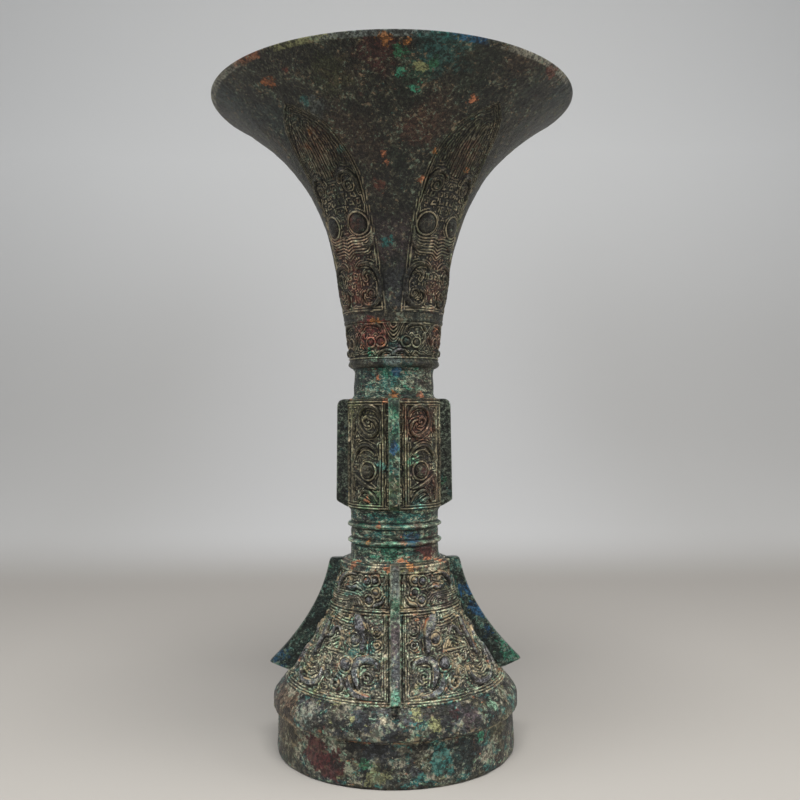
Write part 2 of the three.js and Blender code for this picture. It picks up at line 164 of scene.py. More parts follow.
def nearestOnPath(u, v, path):  # depth inside the stroke, and distance from its middle
    start, end = path[:-1], path[1:]
    step = end - start
    squared = np.maximum(step[:, 0] ** 2 + step[:, 1] ** 2, 1e-9)
    depth = np.full(u.shape, -farAway)
    middle = np.full(u.shape, farAway)
    for a, s, q in zip(start, step, squared):
        t = np.clip(((u - a[0]) * s[0] + (v - a[1]) * s[1]) / q, 0, 1)
        gap = np.hypot(u - a[0] - t * s[0], v - a[1] - t * s[1])
        inside = a[2] + s[2] * t - gap
        deeper = inside > depth
        depth = np.where(deeper, inside, depth)
        middle = np.where(deeper, gap, middle)
    return depth, middle


def layStroke(sheet, points, lift, edge=0.55, rim=0.0, channel=0.0, smooth=True):
    path = smoothPath(points) if smooth else np.array(points, float)
    view = partOf(sheet, path[:, :2], nearLimit)
    depth, middle = nearestOnPath(sheet["u"][view], sheet["v"][view], path)
    body = smoothStep(0, edge, depth)
    border = bead(depth, carving["rimInset"], carving["rimWidth"])
    height = lift * body + rim * border * (depth > 0)
    sheet["rise"][view] = np.maximum(sheet["rise"][view], height)
    sheet["near"][view] = np.minimum(sheet["near"][view], -depth)
    if channel:
        wide = smoothStep(carving["channelFrom"], carving["channelFull"], depth + middle)
        sunk = channel * wide * bead(middle, 0, carving["channelWidth"])
        sheet["cut"][view] = np.maximum(sheet["cut"][view], sunk)
    if lift > carving["formLift"]:
        sheet["form"][view] = np.maximum(sheet["form"][view], body)
        sheet["edge"][view] = np.maximum(sheet["edge"][view], border)


def layEye(sheet, centre, radius, lift, ringGap=0.75, ringLift=0.5, slit=0.0):
    across, up = sheet["u"] - centre[0], sheet["v"] - centre[1]
    distance = np.hypot(across, up)
    dome = np.clip(1 - (distance / radius) ** 2, 0, 1) ** eyeShape["fullness"]
    ring = bead(distance, radius + ringGap, eyeShape["ringWidth"])
    cleared = distance < radius + ringGap + eyeShape["border"]
    sheet["rise"] = np.where(cleared, lift * dome + ringLift * ring, sheet["rise"])
    sheet["cut"] = np.where(cleared, 0, sheet["cut"])
    sheet["cut"] += eyeShape["socketDepth"] * bead(distance, radius + eyeShape["socket"],
                                                   eyeShape["socketWidth"])
    if slit:
        within = smoothStep(slit, slit - eyeShape["slitEdge"], np.abs(across))
        sheet["cut"] += eyeShape["slitDepth"] * bead(up, 0, eyeShape["slitHalf"]) * within
    sheet["form"] = np.maximum(sheet["form"], (distance < radius).astype(float))
    sheet["near"] = np.minimum(sheet["near"], distance - radius - ringGap - eyeShape["collar"])


def layGroove(sheet, points, depth):  # a sunk channel with no lines in it
    path = np.array(points, float)
    view = partOf(sheet, path[:, :2], nearLimit)
    inside, _ = nearestOnPath(sheet["u"][view], sheet["v"][view], path)
    sheet["cut"][view] += depth * smoothStep(0, carving["grooveEdge"], inside)
    sheet["near"][view] = np.minimum(sheet["near"][view], -inside)


threadEdge = 0.35
spiralShare = 0.8  # a spiral's height next to a form's


def layMotif(sheet, motif):
    for points in motif["threads"]:
        layStroke(sheet, [(u, v, motif["threadHalf"]) for u, v in points], motif["threadLift"],
                  edge=threadEdge)
    for points in motif.get("grooves", []):
        layGroove(sheet, points, motif["grooveDepth"])
    for points in motif["forms"]:
        layStroke(sheet, points, motif["lift"], rim=motif["rim"], channel=motif["channel"])
    for centre, outer, inner, turns, start, hand, half in motif.get("spirals", []):
        path = spiralPath(centre, outer, inner, turns, start, hand, half)
        layStroke(sheet, path, motif["lift"] * spiralShare, rim=motif["rim"], smooth=False)
    for centre, radius in motif["eyes"]:
        layEye(sheet, centre, radius, motif["eyeLift"], slit=motif.get("slit", 0) * radius)


keyBorder = 0.35


def keySpirals(u, v, tile, pitch):  # square leiwen spirals in staggered rows, 1 on their lines
    row = np.floor(v / tile)
    shifted = u / tile + 0.5 * (row % 2)
    column = np.floor(shifted)
    x = (shifted - column - 0.5) * tile
    y = (v / tile - row - 0.5) * tile
    hand = np.where((row + column) % 2 > 0, 1, -1)
    reach = np.maximum(np.abs(x), np.abs(y))
    line = 0.5 - 0.5 * np.cos(fullTurn * (reach / pitch + np.arctan2(y, x * hand) / fullTurn))
    return line * smoothStep(tile / 2, tile / 2 - keyBorder, reach)


groundLines = {"driftSize": 2.3, "keyBlend": 0.3, "warp": 0.8, "warpSize": 3.4, "gapSize": 1.5,
               "gaps": (-0.55, -0.15), "faint": 0.3, "painted": (0.56, 0.98), "carved": (0.32, 0.84),
               "opening": (-0.02, 0.12), "ruled": (0.1, 0.3), "ruledShare": 0.75, "upper": (0.02, -0.12),
               "underside": 0.35}


def finishSheet(sheet, ground):  # fills what the forms leave with thin lines, and packs the channels
    u, v = sheet["u"], sheet["v"]
    place = np.stack([u, v, np.zeros_like(u)], axis=-1)
    seed = ground["seed"]
    near = sheet["near"] + ground["wander"] * castNoise(place, groundLines["driftSize"], seed)
    threads = 0.5 - 0.5 * np.cos(fullTurn * near / ground["pitch"])
    keyFull = ground["keyFrom"] + groundLines["keyBlend"]
    keyShare = smoothStep(ground["keyFrom"], keyFull, near) * (v < ground["keyTop"])
    warp = groundLines["warp"] * castNoise(place, groundLines["warpSize"], seed + 3)
    keys = keySpirals(u + warp, v - warp, ground["tile"], ground["pitch"])
    threads = threads * (1 - keyShare) + keys * keyShare
    gaps = smoothStep(*groundLines["gaps"], castNoise(place, groundLines["gapSize"], seed + 9))
    whole = groundLines["faint"] + (1 - groundLines["faint"]) * gaps
    painted = smoothStep(*groundLines["painted"], threads) * whole
    carved = smoothStep(*groundLines["carved"], threads) * whole
    bare = smoothStep(*groundLines["opening"], sheet["near"])
    rise = (sheet["rise"] - sheet["cut"]) * (1 - bare) + ground["depth"] * (carved - 1) * bare
    onForm = sheet["near"] < 0
    ruled = smoothStep(*groundLines["ruled"], sheet["rise"]) * (1 - sheet["form"]) * onForm
    # a form's rim line is painted highlight, full on its upper side and weaker underneath, as the light falls
    # from above
    upper = smoothStep(*groundLines["upper"], np.gradient(sheet["rise"], axis=0))
    edge = sheet["edge"] * (groundLines["underside"] + (1 - groundLines["underside"]) * upper) * onForm
    line = np.maximum(np.maximum(painted * bare, groundLines["ruledShare"] * ruled), edge)
    region = ground["region"](u, v)
    return np.stack([rise * region, line * region, sheet["form"] * region, region], axis=-1)


lastCell = 1.001  # a look-up stays this many cells inside the sheet


def readSheet(channels, u, v):  # smooth look-up at any place
    rows, columns = channels.shape[:2]
    x = np.clip(u / sheetCell, 0, columns - lastCell)
    y = np.clip(v / sheetCell, 0, rows - lastCell)
    i, j = y.astype(int), x.astype(int)
    fy, fx = (y - i)[..., None], (x - j)[..., None]
    low = channels[i, j] * (1 - fx) + channels[i, j + 1] * fx
    high = channels[i + 1, j] * (1 - fx) + channels[i + 1, j + 1] * fx
    return low * (1 - fy) + high * fy


def everywhere(u, v):
    return np.ones_like(u)


# Meshes
def softer(values, reach):  # box blur over a grid that closes on itself across
    width = max(1, int(reach))
    kernel = np.ones(2 * width + 1) / (2 * width + 1)
    wide = np.pad(values, ((width, width), (width, width)), mode="wrap")
    wide[:width] = wide[width]
    wide[-width:] = wide[-width - 1]
    wide = np.apply_along_axis(lambda line: np.convolve(line, kernel, "valid"), 1, wide)
    return np.apply_along_axis(lambda line: np.convolve(line, kernel, "valid"), 0, wide)


def buildMesh(name, vertices, quads, layers):
    mesh = bpy.data.meshes.new(name)
    mesh.vertices.add(len(vertices))
    mesh.vertices.foreach_set("co", (vertices * toMetres).astype(np.float32).ravel())
    mesh.loops.add(quads.size)
    mesh.loops.foreach_set("vertex_index", quads.astype(np.int32).ravel())
    mesh.polygons.add(len(quads))
    mesh.polygons.foreach_set("loop_start", np.arange(0, quads.size, 4, dtype=np.int32))
    mesh.update(calc_edges=True)
    mesh.shade_smooth()
    for layer, values in layers.items():
        attribute = mesh.attributes.new(layer, "FLOAT", "POINT")
        attribute.data.foreach_set("value", values.astype(np.float32).ravel())
    piece = bpy.data.objects.new(name, mesh)
    bpy.context.scene.collection.objects.link(piece)
    return piece


def dress(piece, node, material):
    piece.data.materials.append(material)
    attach(piece, "root")
    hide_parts(node)
    print("built", piece.name, len(piece.data.polygons), "faces")


def gridQuads(rows, columns):  # a grid that closes both ways
    i, j = np.meshgrid(np.arange(rows), np.arange(columns), indexing="ij")
    up, right = (i + 1) % rows, (j + 1) % columns
    return np.stack([i * columns + j, i * columns + right, up * columns + right, up * columns + j],
                    axis=-1).reshape(-1, 4)


def evenAngles(columns):
    return np.linspace(-math.pi, math.pi, int(columns * quality), endpoint=False)


skinNoise = (("lump", 17.0, 5), ("dent", 5.2, 6), ("pit", 1.6, 7))  # kind, size in mm, seed
shell = {"rounding": 2, "innerSpacing": 3.0, "innerRounding": 1, "fade": 1.4, "ceiling": 3.0, "calm": 0.55,
         "blur": 1.1, "relief": 0.24}


def castSkin(points, skin):  # the small unevenness of a cast and buried wall
    return sum(skin[kind] * castNoise(points, size, seed) for kind, size, seed in skinNoise)


def plainWall(theta, arc, radius, place):  # no relief; its layers are rise, lines for the painted highlight, forms and calm
    return np.zeros(theta.shape + (4,))


def turnedShell(name, section):
    section = {**shell, **section}
    denseLength = section.get("denseLength", math.inf)
    line, along = evenOutline(section["outer"], section["spacing"], section["rounding"], denseLength)
    inner, _ = evenOutline(section["inner"], section["innerSpacing"], section["innerRounding"])
    angles = section["angles"] if "angles" in section else evenAngles(section["columns"])
    tangent = np.gradient(line, axis=0)
    normal = np.column_stack([tangent[:, 1], -tangent[:, 0]])
    normal /= np.hypot(*normal.T)[:, None]
    theta, arc = np.meshgrid(angles, along - section.get("leadIn", 0))
    radius = np.repeat(line[:, :1], len(angles), axis=1)
    height = np.repeat(line[:, 1:], len(angles), axis=1)
    place = np.stack([radius * np.sin(theta), -radius * np.cos(theta), height], axis=-1)
    cast = section.get("carve", plainWall)(theta, arc, radius, place)
    rise = cast[..., 0] + castSkin(place, section["skin"]) * (1 - section["calm"] * cast[..., 3])
    seat = np.minimum(along, along[-1] - along)[:, None]
    rise = np.minimum(rise * smoothStep(0, section["fade"], seat), section["ceiling"])
    moved = np.stack([radius + normal[:, :1] * rise, height + normal[:, 1:] * rise], axis=-1)
    backRadius = np.repeat(inner[::-1, :1], len(angles), axis=1)
    backHeight = np.repeat(inner[::-1, 1:], len(angles), axis=1)
    ringRadius = np.vstack([moved[..., 0], backRadius])
    ringHeight = np.vstack([moved[..., 1], backHeight])
    ringTheta = np.repeat(np.asarray(angles)[None], len(ringRadius), axis=0)
    vertices = np.stack([ringRadius * np.sin(ringTheta), -ringRadius * np.cos(ringTheta), ringHeight],
                        axis=-1)
    rows, columns = ringRadius.shape
    # crest and hollow carry the painted highlight on ridges and the painted shade in grooves; ledge, the
    # upward slopes, carries dust and painted highlight
    relative = (rise - softer(rise, section["blur"] / section["spacing"] * quality)) / section["relief"]
    slope = -np.gradient(rise, along, axis=0)
    blank = np.zeros(backRadius.shape)
    layers = {"crest": np.clip(relative, 0, 1), "hollow": np.clip(-relative, 0, 1), "thread": cast[..., 1],
              "form": cast[..., 2], "ledge": np.clip(slope, 0, 1)}
    layers = {label: np.vstack([values, blank]) for label, values in layers.items()}
    return buildMesh(name, vertices.reshape(-1, 3), gridQuads(rows, columns), layers)


# Relief of the sections
def foldAngle(theta, period):  # angle from the nearest mirror line of a pattern of that period
    return np.abs((theta + period / 2) % period - period / 2)


drift = {"size": 13.0, "fineSize": 4.0, "fineShare": 0.35}
driftOf = {  # millimetres and seed, across and up each section
    "bladeAcross": (0.3, 61), "bladeUp": (0.3, 63), "bandAcross": (0.2, 65), "bandUp": (0.15, 67),
    "waistAcross": (0.25, 69), "waistUp": (0.2, 71), "bellAcross": (0.35, 73), "bellUp": (0.25, 75),
    "shelf": (0.15, 77), "shoulder": (0.2, 79), "bowstring": (0.15, 81),
}


def wander(place, which):  # small drift of the pattern, so that no two repeats are alike
    amount, seed = driftOf[which]
    fine = castNoise(place, drift["fineSize"], seed + 1)
    return amount * castNoise(place, drift["size"], seed) + drift["fineShare"] * amount * fine


bladeBorder = [(0, 16.6), (20, 16.4), (36, 16.7), (50, 17.3), (62, 18.0), (73, 18.1), (80, 17.2),
               (88, 15.4), (94, 12.6), (100, 7.6), (105, 0.2)]
bladeEdge = np.array(bladeBorder)


def bladeHalf(v):  # half the blade's width at a height up the wall
    return np.interp(v, bladeEdge[:, 0], bladeEdge[:, 1], right=-2)


blade = {
    "lift": 0.85, "rim": 0.14, "channel": 0.3, "threadLift": 0.34, "threadHalf": 0.42, "eyeLift": 1.5,
    "eyes": [((8.9, 42.4), 4.6)],
    "forms": [
        [(3.4, 21.4, 0.5), (6.1, 23.3, 0.9), (10.5, 23.3, 1.2), (13.8, 20.6, 1.35), (15.3, 15.0, 1.35),
         (14.4, 8.3, 1.25), (11.2, 3.9, 1.1), (7.2, 3.4, 0.9), (4.8, 5.9, 0.75), (4.9, 9.4, 0.6),
         (6.8, 10.8, 0.4)],
        [(12.8, 15.8, 0.5), (12.0, 18.6, 0.7), (9.2, 19.8, 0.7), (7.2, 18.0, 0.6), (7.9, 15.9, 0.4)],
        [(5.3, 63.4, 0.4), (7.2, 66.6, 0.8), (10.6, 67.3, 1.0), (13.3, 64.8, 1.0), (14.4, 60.6, 0.9),
         (14.3, 56.4, 0.45)],
        [(8.0, 32.6, 0.5), (10.6, 31.4, 0.95), (13.6, 31.9, 0.9), (15.2, 34.3, 0.4)],
    ],
    "spirals": [((10.0, 9.2), 2.5, 0.5, 1.5, 200, -1, 0.5), ((9.6, 60.6), 2.6, 0.5, 1.4, 60, 1, 0.5)],
    "threads": [],
}
for row in range(6):  # thin lines that hang under the eye and meet in a chevron on the blade's axis
    drop = 1.36 * row
    hung = [(0, 35.4 - 1.75 * row), (3.2, 36.0 - 1.45 * row), (7.0, 35.6 - drop), (11.0, 35.8 - drop)]
    blade["threads"].append([*hung, (14.2 - 0.1 * row, 37.6 - 1.1 * row), (15.4, 40.6 - 1.2 * row)])
blade["threads"] += [[(1.0, 66), (0.9, 80), (3.0, 93), (5.6, 82), (6.2, 70)],
                     [(2.5, 66), (2.4, 78), (3.3, 86), (4.4, 78), (4.6, 68)]]


def drawSheet(motif, ground):
    sheet = newSheet(*ground["size"])
    layMotif(sheet, motif)
    return finishSheet(sheet, ground)


bladeLines = {"foot": 1.6, "steps": 40, "borders": ((0.5, 104.5), (1.8, 101.5)), "rules": (1.3, 2.6),
              "ruleEnd": 17.5}


def edgeLine(inset, head):  # a line along the blade's border
    heights = np.linspace(bladeLines["foot"], head, bladeLines["steps"])
    return [(max(bladeHalf(v) - inset, 0), v) for v in heights]


blade["threads"] += [edgeLine(inset, head) for inset, head in bladeLines["borders"]]
blade["threads"] += [[(0, v), (bladeLines["ruleEnd"], v)] for v in bladeLines["rules"]]
bladeGround = {"size": (19.5, 108), "pitch": 1.36, "depth": 0.6, "wander": 0.34, "seed": 21,
               "keyFrom": 1.5, "tile": 3.9, "keyTop": 60,
               "region": lambda u, v: smoothStep(-0.1, 0.2, bladeHalf(v) - u)}


bandMotif = {
    "lift": 0.75, "rim": 0.1, "channel": 0.0, "threadLift": 0.3, "threadHalf": 0.4, "eyeLift": 1.0,
    "eyes": [((6.2, 8.2), 1.75), ((11.4, 7.9), 1.6)],
    "forms": [
        [(4.5, 10.6, 0.4), (5.6, 13.4, 0.6), (7.4, 15.9, 0.75), (10.4, 16.6, 0.7), (14.6, 16.4, 0.6),
         (17.2, 13.6, 0.45)],
        [(0.3, 2.0, 0.5), (0.9, 3.6, 0.65), (3.2, 4.2, 0.75), (5.8, 3.3, 0.7), (7.8, 1.6, 0.4)],
        [(12.6, 4.7, 0.4), (14.4, 6.6, 0.7), (16.4, 9.4, 0.6), (16.2, 11.6, 0.35)],
        [(9.2, 2.0, 0.4), (10.8, 3.4, 0.6), (13.4, 2.4, 0.5), (16.4, 2.2, 0.35)],
    ],
    "threads": [[(4.3, 10.9), (5.8, 12.3), (7.3, 11.1), (8.8, 12.3), (10.6, 11.0), (12.4, 11.8)],
                [(0, 0.5), (18.8, 0.5)], [(0, 17.2), (18.8, 17.2)]],
}
for row in range(4):  # nested hollow triangles over the nose
    bandMotif["threads"].append([(0, 8.9 + 1.9 * row), (2.0 - 0.25 * row, 11.2 + 1.5 * row),
                                 (4.9 - 1.15 * row, 16.9)])


bandGround = {"size": (19.6, 17.8), "pitch": 1.25, "depth": 0.55, "wander": 0.28, "seed": 33,
              "keyFrom": 1.6, "tile": 3.4, "keyTop": 20, "region": everywhere}


waistMotif = {
    "lift": 1.0, "rim": 0.2, "channel": 0.35, "threadLift": 0.3, "threadHalf": 0.42, "eyeLift": 1.9,
    "slit": 0.55,
    "eyes": [((13.6, 19.3), 3.6)],
    "forms": [
        [(6.9, 45.4, 0.4), (8.6, 49.0, 0.9), (13.4, 50.6, 1.25), (17.6, 48.8, 1.5), (19.3, 44.2, 1.6),
         (18.0, 39.6, 1.5), (14.0, 36.5, 1.2), (10.2, 36.6, 1.0), (8.2, 39.2, 0.9), (9.2, 42.6, 0.8),
         (11.6, 44.0, 0.5)],
        [(7.9, 27.2, 0.3), (9.8, 30.0, 0.8), (13.2, 32.0, 1.25), (17.4, 31.6, 1.4), (20.7, 28.9, 1.2),
         (22.2, 24.6, 0.4)],
        [(24.3, 17.6, 0.4), (22.0, 17.2, 0.8), (19.2, 15.2, 1.1), (16.0, 13.2, 1.2), (12.7, 11.8, 0.9),
         (9.1, 10.8, 0.35)],
        [(17.6, 8.4, 0.35), (15.4, 9.8, 0.8), (12.6, 9.2, 1.0), (9.8, 6.9, 0.85), (7.6, 3.9, 0.4)],
        [(20.0, 4.0, 0.4), (18.0, 6.0, 0.9), (15.6, 5.4, 1.0), (13.2, 4.6, 0.5)],
        [(23.6, 36.6, 0.4), (22.6, 40.4, 0.8), (22.8, 44.6, 0.5)],
        [(22.9, 8.4, 0.4), (22.5, 11.6, 0.9), (22.0, 14.0, 0.5)],
        [(28.9, 10.0, 0.4), (28.2, 16.0, 0.9), (29.0, 24.0, 1.1), (28.2, 31.0, 0.9), (28.9, 36.0, 0.4)],
    ],
    "spirals": [((13.7, 43.2), 2.6, 0.4, 1.3, 250, 1, 0.55)],
    "threads": [
        [(5.5, 2.4), (5.5, 51.6)], [(6.9, 3.2), (6.9, 32)], [(25.6, 2.4), (25.6, 51.6)],
        [(31.0, 2.4), (31.0, 51.6)], [(3.2, 1.4), (33.6, 1.4)], [(5.5, 2.7), (33.6, 2.7)],
        [(3.2, 52.5), (33.6, 52.5)], [(5.5, 51.2), (31.0, 51.2)],
        [(10.2, 27.4), (12.6, 29.0), (16.0, 29.2), (18.8, 27.2)],
    ],
}


waistGround = {"size": (37, 54), "pitch": 1.3, "depth": 0.6, "wander": 0.34, "seed": 45,
               "keyFrom": 1.6, "tile": 3.8, "keyTop": 60, "region": everywhere}


footMotif = {
    "lift": 1.15, "rim": 0.1, "channel": 0.0, "threadLift": 0.34, "threadHalf": 0.42, "eyeLift": 1.6,
    "grooveDepth": 0.75,
    "eyes": [((19.5, 30.2), 2.4), ((24.0, 18.3), 2.8), ((9.3, 52.3), 1.3), ((12.6, 48.5), 1.7),
             ((9.6, 57.8), 1.5), ((13.6, 57.2), 1.7)],
    "forms": [
        [(19.4, 41.8, 0.4), (17.6, 39.4, 2.1), (16.9, 36.4, 2.9), (16.0, 32.6, 2.3), (15.5, 28.4, 1.8),
         (15.1, 24.8, 1.2)],
        [(7.9, 16.8, 0.5), (8.6, 19.6, 1.2), (11.6, 20.9, 1.7), (15.4, 20.8, 1.9), (18.2, 18.4, 1.9),
         (18.6, 14.6, 1.8), (17.9, 11.0, 1.5), (17.2, 8.0, 0.6)],
        [(21.9, 13.2, 0.5), (21.8, 10.0, 1.5), (20.6, 6.8, 1.7), (17.0, 4.8, 1.6), (11.6, 4.3, 0.6)],
        [(36.4, 38.0, 0.5), (39.4, 33.6, 1.3), (42.4, 27.6, 1.5), (45.2, 22.2, 1.2), (48.0, 17.6, 0.5)],
        [(37.8, 14.4, 0.5), (39.6, 9.6, 1.1), (44.6, 6.2, 1.4), (52.6, 6.2, 1.4), (57.6, 9.6, 1.2),
         (58.8, 16.4, 0.9), (56.4, 23.0, 0.5)],
        [(27.6, 32.0, 0.4), (29.4, 34.4, 0.7), (32.4, 33.2, 0.8), (34.8, 30.0, 0.8), (40.0, 28.4, 0.4)],
        [(60.4, 20.6, 0.4), (63.4, 16.4, 1.2), (65.6, 10.4, 1.3), (63.4, 6.2, 0.5)],
        [(49.4, 34.4, 0.4), (51.6, 30.0, 1.0), (51.0, 25.4, 0.5)],
        [(10.2, 44.0, 0.3), (9.6, 46.2, 0.8), (6.2, 47.6, 0.8), (4.9, 50.4, 0.4)],
        [(20.6, 60.0, 0.4), (24.8, 60.2, 0.9), (29.4, 58.2, 1.1), (33.6, 53.6, 0.9), (33.4, 49.6, 0.4)],
        [(16.6, 53.2, 0.4), (19.4, 54.4, 0.9), (23.0, 53.4, 0.9), (26.4, 54.4, 0.4)],
    ],
    "spirals": [
        ((28.8, 9.0), 3.8, 0.7, 1.5, 100, 1, 0.8), ((35.4, 19.4), 2.4, 0.5, 1.3, 30, -1, 0.5),
        ((33.6, 12.9), 2.0, 0.5, 1.2, 120, 1, 0.5), ((13.2, 13.4), 2.5, 0.5, 1.3, 240, -1, 0.5),
        ((58.8, 30.0), 2.8, 0.6, 1.4, 90, 1, 0.6), ((25.6, 56.6), 1.7, 0.4, 1.2, 0, 1, 0.4),
        ((40.6, 54.0), 2.4, 0.5, 1.3, 90, 1, 0.5), ((8.9, 34.6), 1.9, 0.4, 1.3, 200, 1, 0.45),
        ((8.4, 28.2), 1.7, 0.4, 1.2, 20, -1, 0.45),
    ],
    "grooves": [
        [(3.1, 0.0, 0.75), (3.1, 41.8, 0.75)], [(3.0, 46.4, 0.6), (3.0, 61.4, 0.6)],
        [(0.0, 45.2, 0.55), (58.0, 45.2, 0.55)],
    ],
    "threads": [
        [(2.4, 0.9), (84, 0.9)], [(2.4, 2.2), (84, 2.2)], [(4.6, 3.5), (84, 3.5)], [(2.4, 42.2), (58, 42.2)],
        [(2.4, 43.6), (58, 43.6)], [(2.4, 61.4), (44, 61.4)], [(4.7, 4.0), (4.7, 24.0)],
        [(4.6, 30.0), (4.6, 41.4)], [(25.4, 23.8), (39.5, 23.7)],
        [(25.6, 25.2), (28.2, 29.4), (31.8, 28.2), (39.0, 25.1)],
        [(27.8, 25.6), (29.2, 27.6), (33.4, 25.7)], [(19.8, 38.6), (21.4, 35.9), (35.4, 37.6)],
        [(21.4, 39.4), (22.6, 37.4), (34.6, 39.0)], [(23.4, 40.6), (24.2, 39.0), (33.6, 40.4)],
    ],
}
for row in range(8):  # feathered strokes across the wings
    rung = 2.7 * row
    feather = [(43.6 - 0.1 * row, 11.0 + rung), (49.0 - 0.6 * row, 9.4 + rung),
               (54.6 - 1.1 * row, 10.6 + rung)]
    footMotif["threads"].append(feather)
for row in range(5):  # lines that fan out behind the small masks
    spread = 1.5 * row
    fan = [(14.6 + spread, 46.4), (16.8 + spread, 49.4 - 0.2 * row), (22.0 + spread, 51.4 - row),
           (46.0, 50.8 - row)]
    footMotif["threads"].append(fan)


footGround = {"size": (87, 64), "pitch": 1.4, "depth": 0.62, "wander": 0.46, "seed": 57,
              "keyFrom": 1.5, "tile": 4.0, "keyTop": 62,
              "region": lambda u, v: 1 - smoothStep(61.2, 61.9, v)}


print("drawing the relief sheets")
sheets = {"blade": drawSheet(blade, bladeGround), "band": drawSheet(bandMotif, bandGround),
          "waist": drawSheet(waistMotif, waistGround), "foot": drawSheet(footMotif, footGround)}


# Heights along the wall where the ornament of each section starts and ends
bladeTop = 107
bandTop = 17.7
bellTop = 63
drumFoot = (0.2, 0.9)
drumHead = (53.8, 53.2)


def trumpetRelief(theta, arc, radius, place):
    u = radius * foldAngle(theta - quarterTurn / 2, quarterTurn) + wander(place, "bladeAcross")
    cast = readSheet(sheets["blade"], np.abs(u), arc + wander(place, "bladeUp"))
    return cast * ((arc > 0) & (arc < bladeTop))[..., None]


def bandRelief(theta, arc, radius, place):
    u = radius * foldAngle(theta, quarterTurn) + wander(place, "bandAcross")
    inBand = (arc > 0) & (arc < bandTop)
    return readSheet(sheets["band"], np.abs(u), arc + wander(place, "bandUp")) * inBand[..., None]


def waistRelief(theta, arc, radius, place):
    u = radius * foldAngle(theta, math.pi) + wander(place, "waistAcross")
    inDrum = smoothStep(*drumFoot, arc) * smoothStep(*drumHead, arc)
    return readSheet(sheets["waist"], np.abs(u), arc + wander(place, "waistUp")) * inDrum[..., None]


shoulder = {"height": 21.4, "lip": 2.2, "lipWidth": 0.9, "lipRise": 0.4, "grooveWidth": 0.6, "depth": 0.8,
            "crest": 2.4, "crestWidth": 0.45, "crestHighlight": 0.5}


def ringRelief(theta, arc, radius, place):  # a groove under the overhanging shoulder, darkened by painted shade in its hollow, and a painted highlight line on the lip above
    cast = plainWall(theta, arc, radius, place)
    above = arc - shoulder["height"] + wander(place, "shoulder")
    lip = shoulder["lipRise"] * bead(above, shoulder["lip"], shoulder["lipWidth"])
    cast[..., 0] = lip - shoulder["depth"] * bead(above, 0, shoulder["grooveWidth"])
    cast[..., 1] = shoulder["crestHighlight"] * bead(above, shoulder["crest"], shoulder["crestWidth"])
    return cast


bowstrings = (8.6, 16.6)  # heights up the stem
bowstring = {"rise": 0.35, "width": 0.6, "foot": 1.7, "grooveWidth": 0.5, "depth": 0.5, "crest": 0.3,
             "crestWidth": 0.5, "crestHighlight": 0.8}


def stemRelief(theta, arc, radius, place):  # painted highlight line on the upper side of each bowstring's crest, sharp groove at its foot
    cast = plainWall(theta, arc, radius, place)
    height = place[..., 2] - stemFoot + wander(place, "bowstring")
    for middle in bowstrings:
        groove = bead(np.abs(height - middle), bowstring["foot"], bowstring["grooveWidth"])
        string = bead(height, middle, bowstring["width"])
        cast[..., 0] += bowstring["rise"] * string - bowstring["depth"] * groove
        crest = bead(height - middle, bowstring["crest"], bowstring["crestWidth"])
        cast[..., 1] = np.maximum(cast[..., 1], bowstring["crestHighlight"] * crest)
    return cast


shelfLines = (64.1, 66.4, 68.6)  # raised rings on the bell's shelf, measured up its wall, each with a painted highlight line
shelfLine = {"width": 0.5, "rise": 0.5, "highlight": 0.8}


def bellRelief(theta, arc, radius, place):
    u = radius * foldAngle(theta, math.pi) + wander(place, "bellAcross")
    inBell = (arc > 0) & (arc < bellTop)
    cast = readSheet(sheets["foot"], np.abs(u), arc + wander(place, "bellUp")) * inBell[..., None]
    for line in shelfLines:
        ring = bead(arc + wander(place, "shelf"), line, shelfLine["width"])
        cast[..., 0] += shelfLine["rise"] * ring
        cast[..., 1] += shelfLine["highlight"] * ring
    return cast


# Shader helpers
def newGroup(name, inputs, outputs):
    tree = bpy.data.node_groups.new(name, "ShaderNodeTree")
    for label, kind, value in inputs:
        socket = tree.interface.new_socket(label, in_out="INPUT", socket_type=kind)
        if value is not None:
            socket.default_value = value
    for label, kind in outputs:
        tree.interface.new_socket(label, in_out="OUTPUT", socket_type=kind)
    return tree, tree.nodes.new("NodeGroupInput"), tree.nodes.new("NodeGroupOutput")


def put(tree, source, target):
    if isinstance(source, bpy.types.NodeSocket):
        tree.links.new(source, target)
    elif source is not None:
        target.default_value = source


def mathNode(tree, operation, first, second=None):
    node = tree.nodes.new("ShaderNodeMath")
    node.operation = operation
    put(tree, first, node.inputs[0])
    put(tree, second, node.inputs[1])
    return node.outputs[0]


def mapRange(tree, value, low, high, outLow=0.0, outHigh=1.0):
    node = tree.nodes.new("ShaderNodeMapRange")
    node.interpolation_type = "SMOOTHSTEP"
    given = {"Value": value, "From Min": low, "From Max": high, "To Min": outLow, "To Max": outHigh}
    for label, source in given.items():
        put(tree, source, node.inputs[label])
    return node.outputs[0]


def mixColour(tree, share, first, second, blend="MIX"):
    node = tree.nodes.new("ShaderNodeMix")
    node.data_type = "RGBA"
    node.blend_type = blend
    put(tree, share, node.inputs[0])
    put(tree, first, node.inputs[6])
    put(tree, second, node.inputs[7])
    return node.outputs[2]


def noiseNode(tree, vector, scale, detail=4.0, roughness=0.6, distortion=0.0):
    node = tree.nodes.new("ShaderNodeTexNoise")
    node.inputs["Distortion"].default_value = distortion
    node.inputs["Detail"].default_value = detail
    node.inputs["Roughness"].default_value = roughness
    put(tree, vector, node.inputs["Vector"])
    put(tree, scale, node.inputs["Scale"])
    return node


def centred(tree, noise):  # a noise moved to lie evenly about 0
    return mathNode(tree, "SUBTRACT", noise, 0.5)


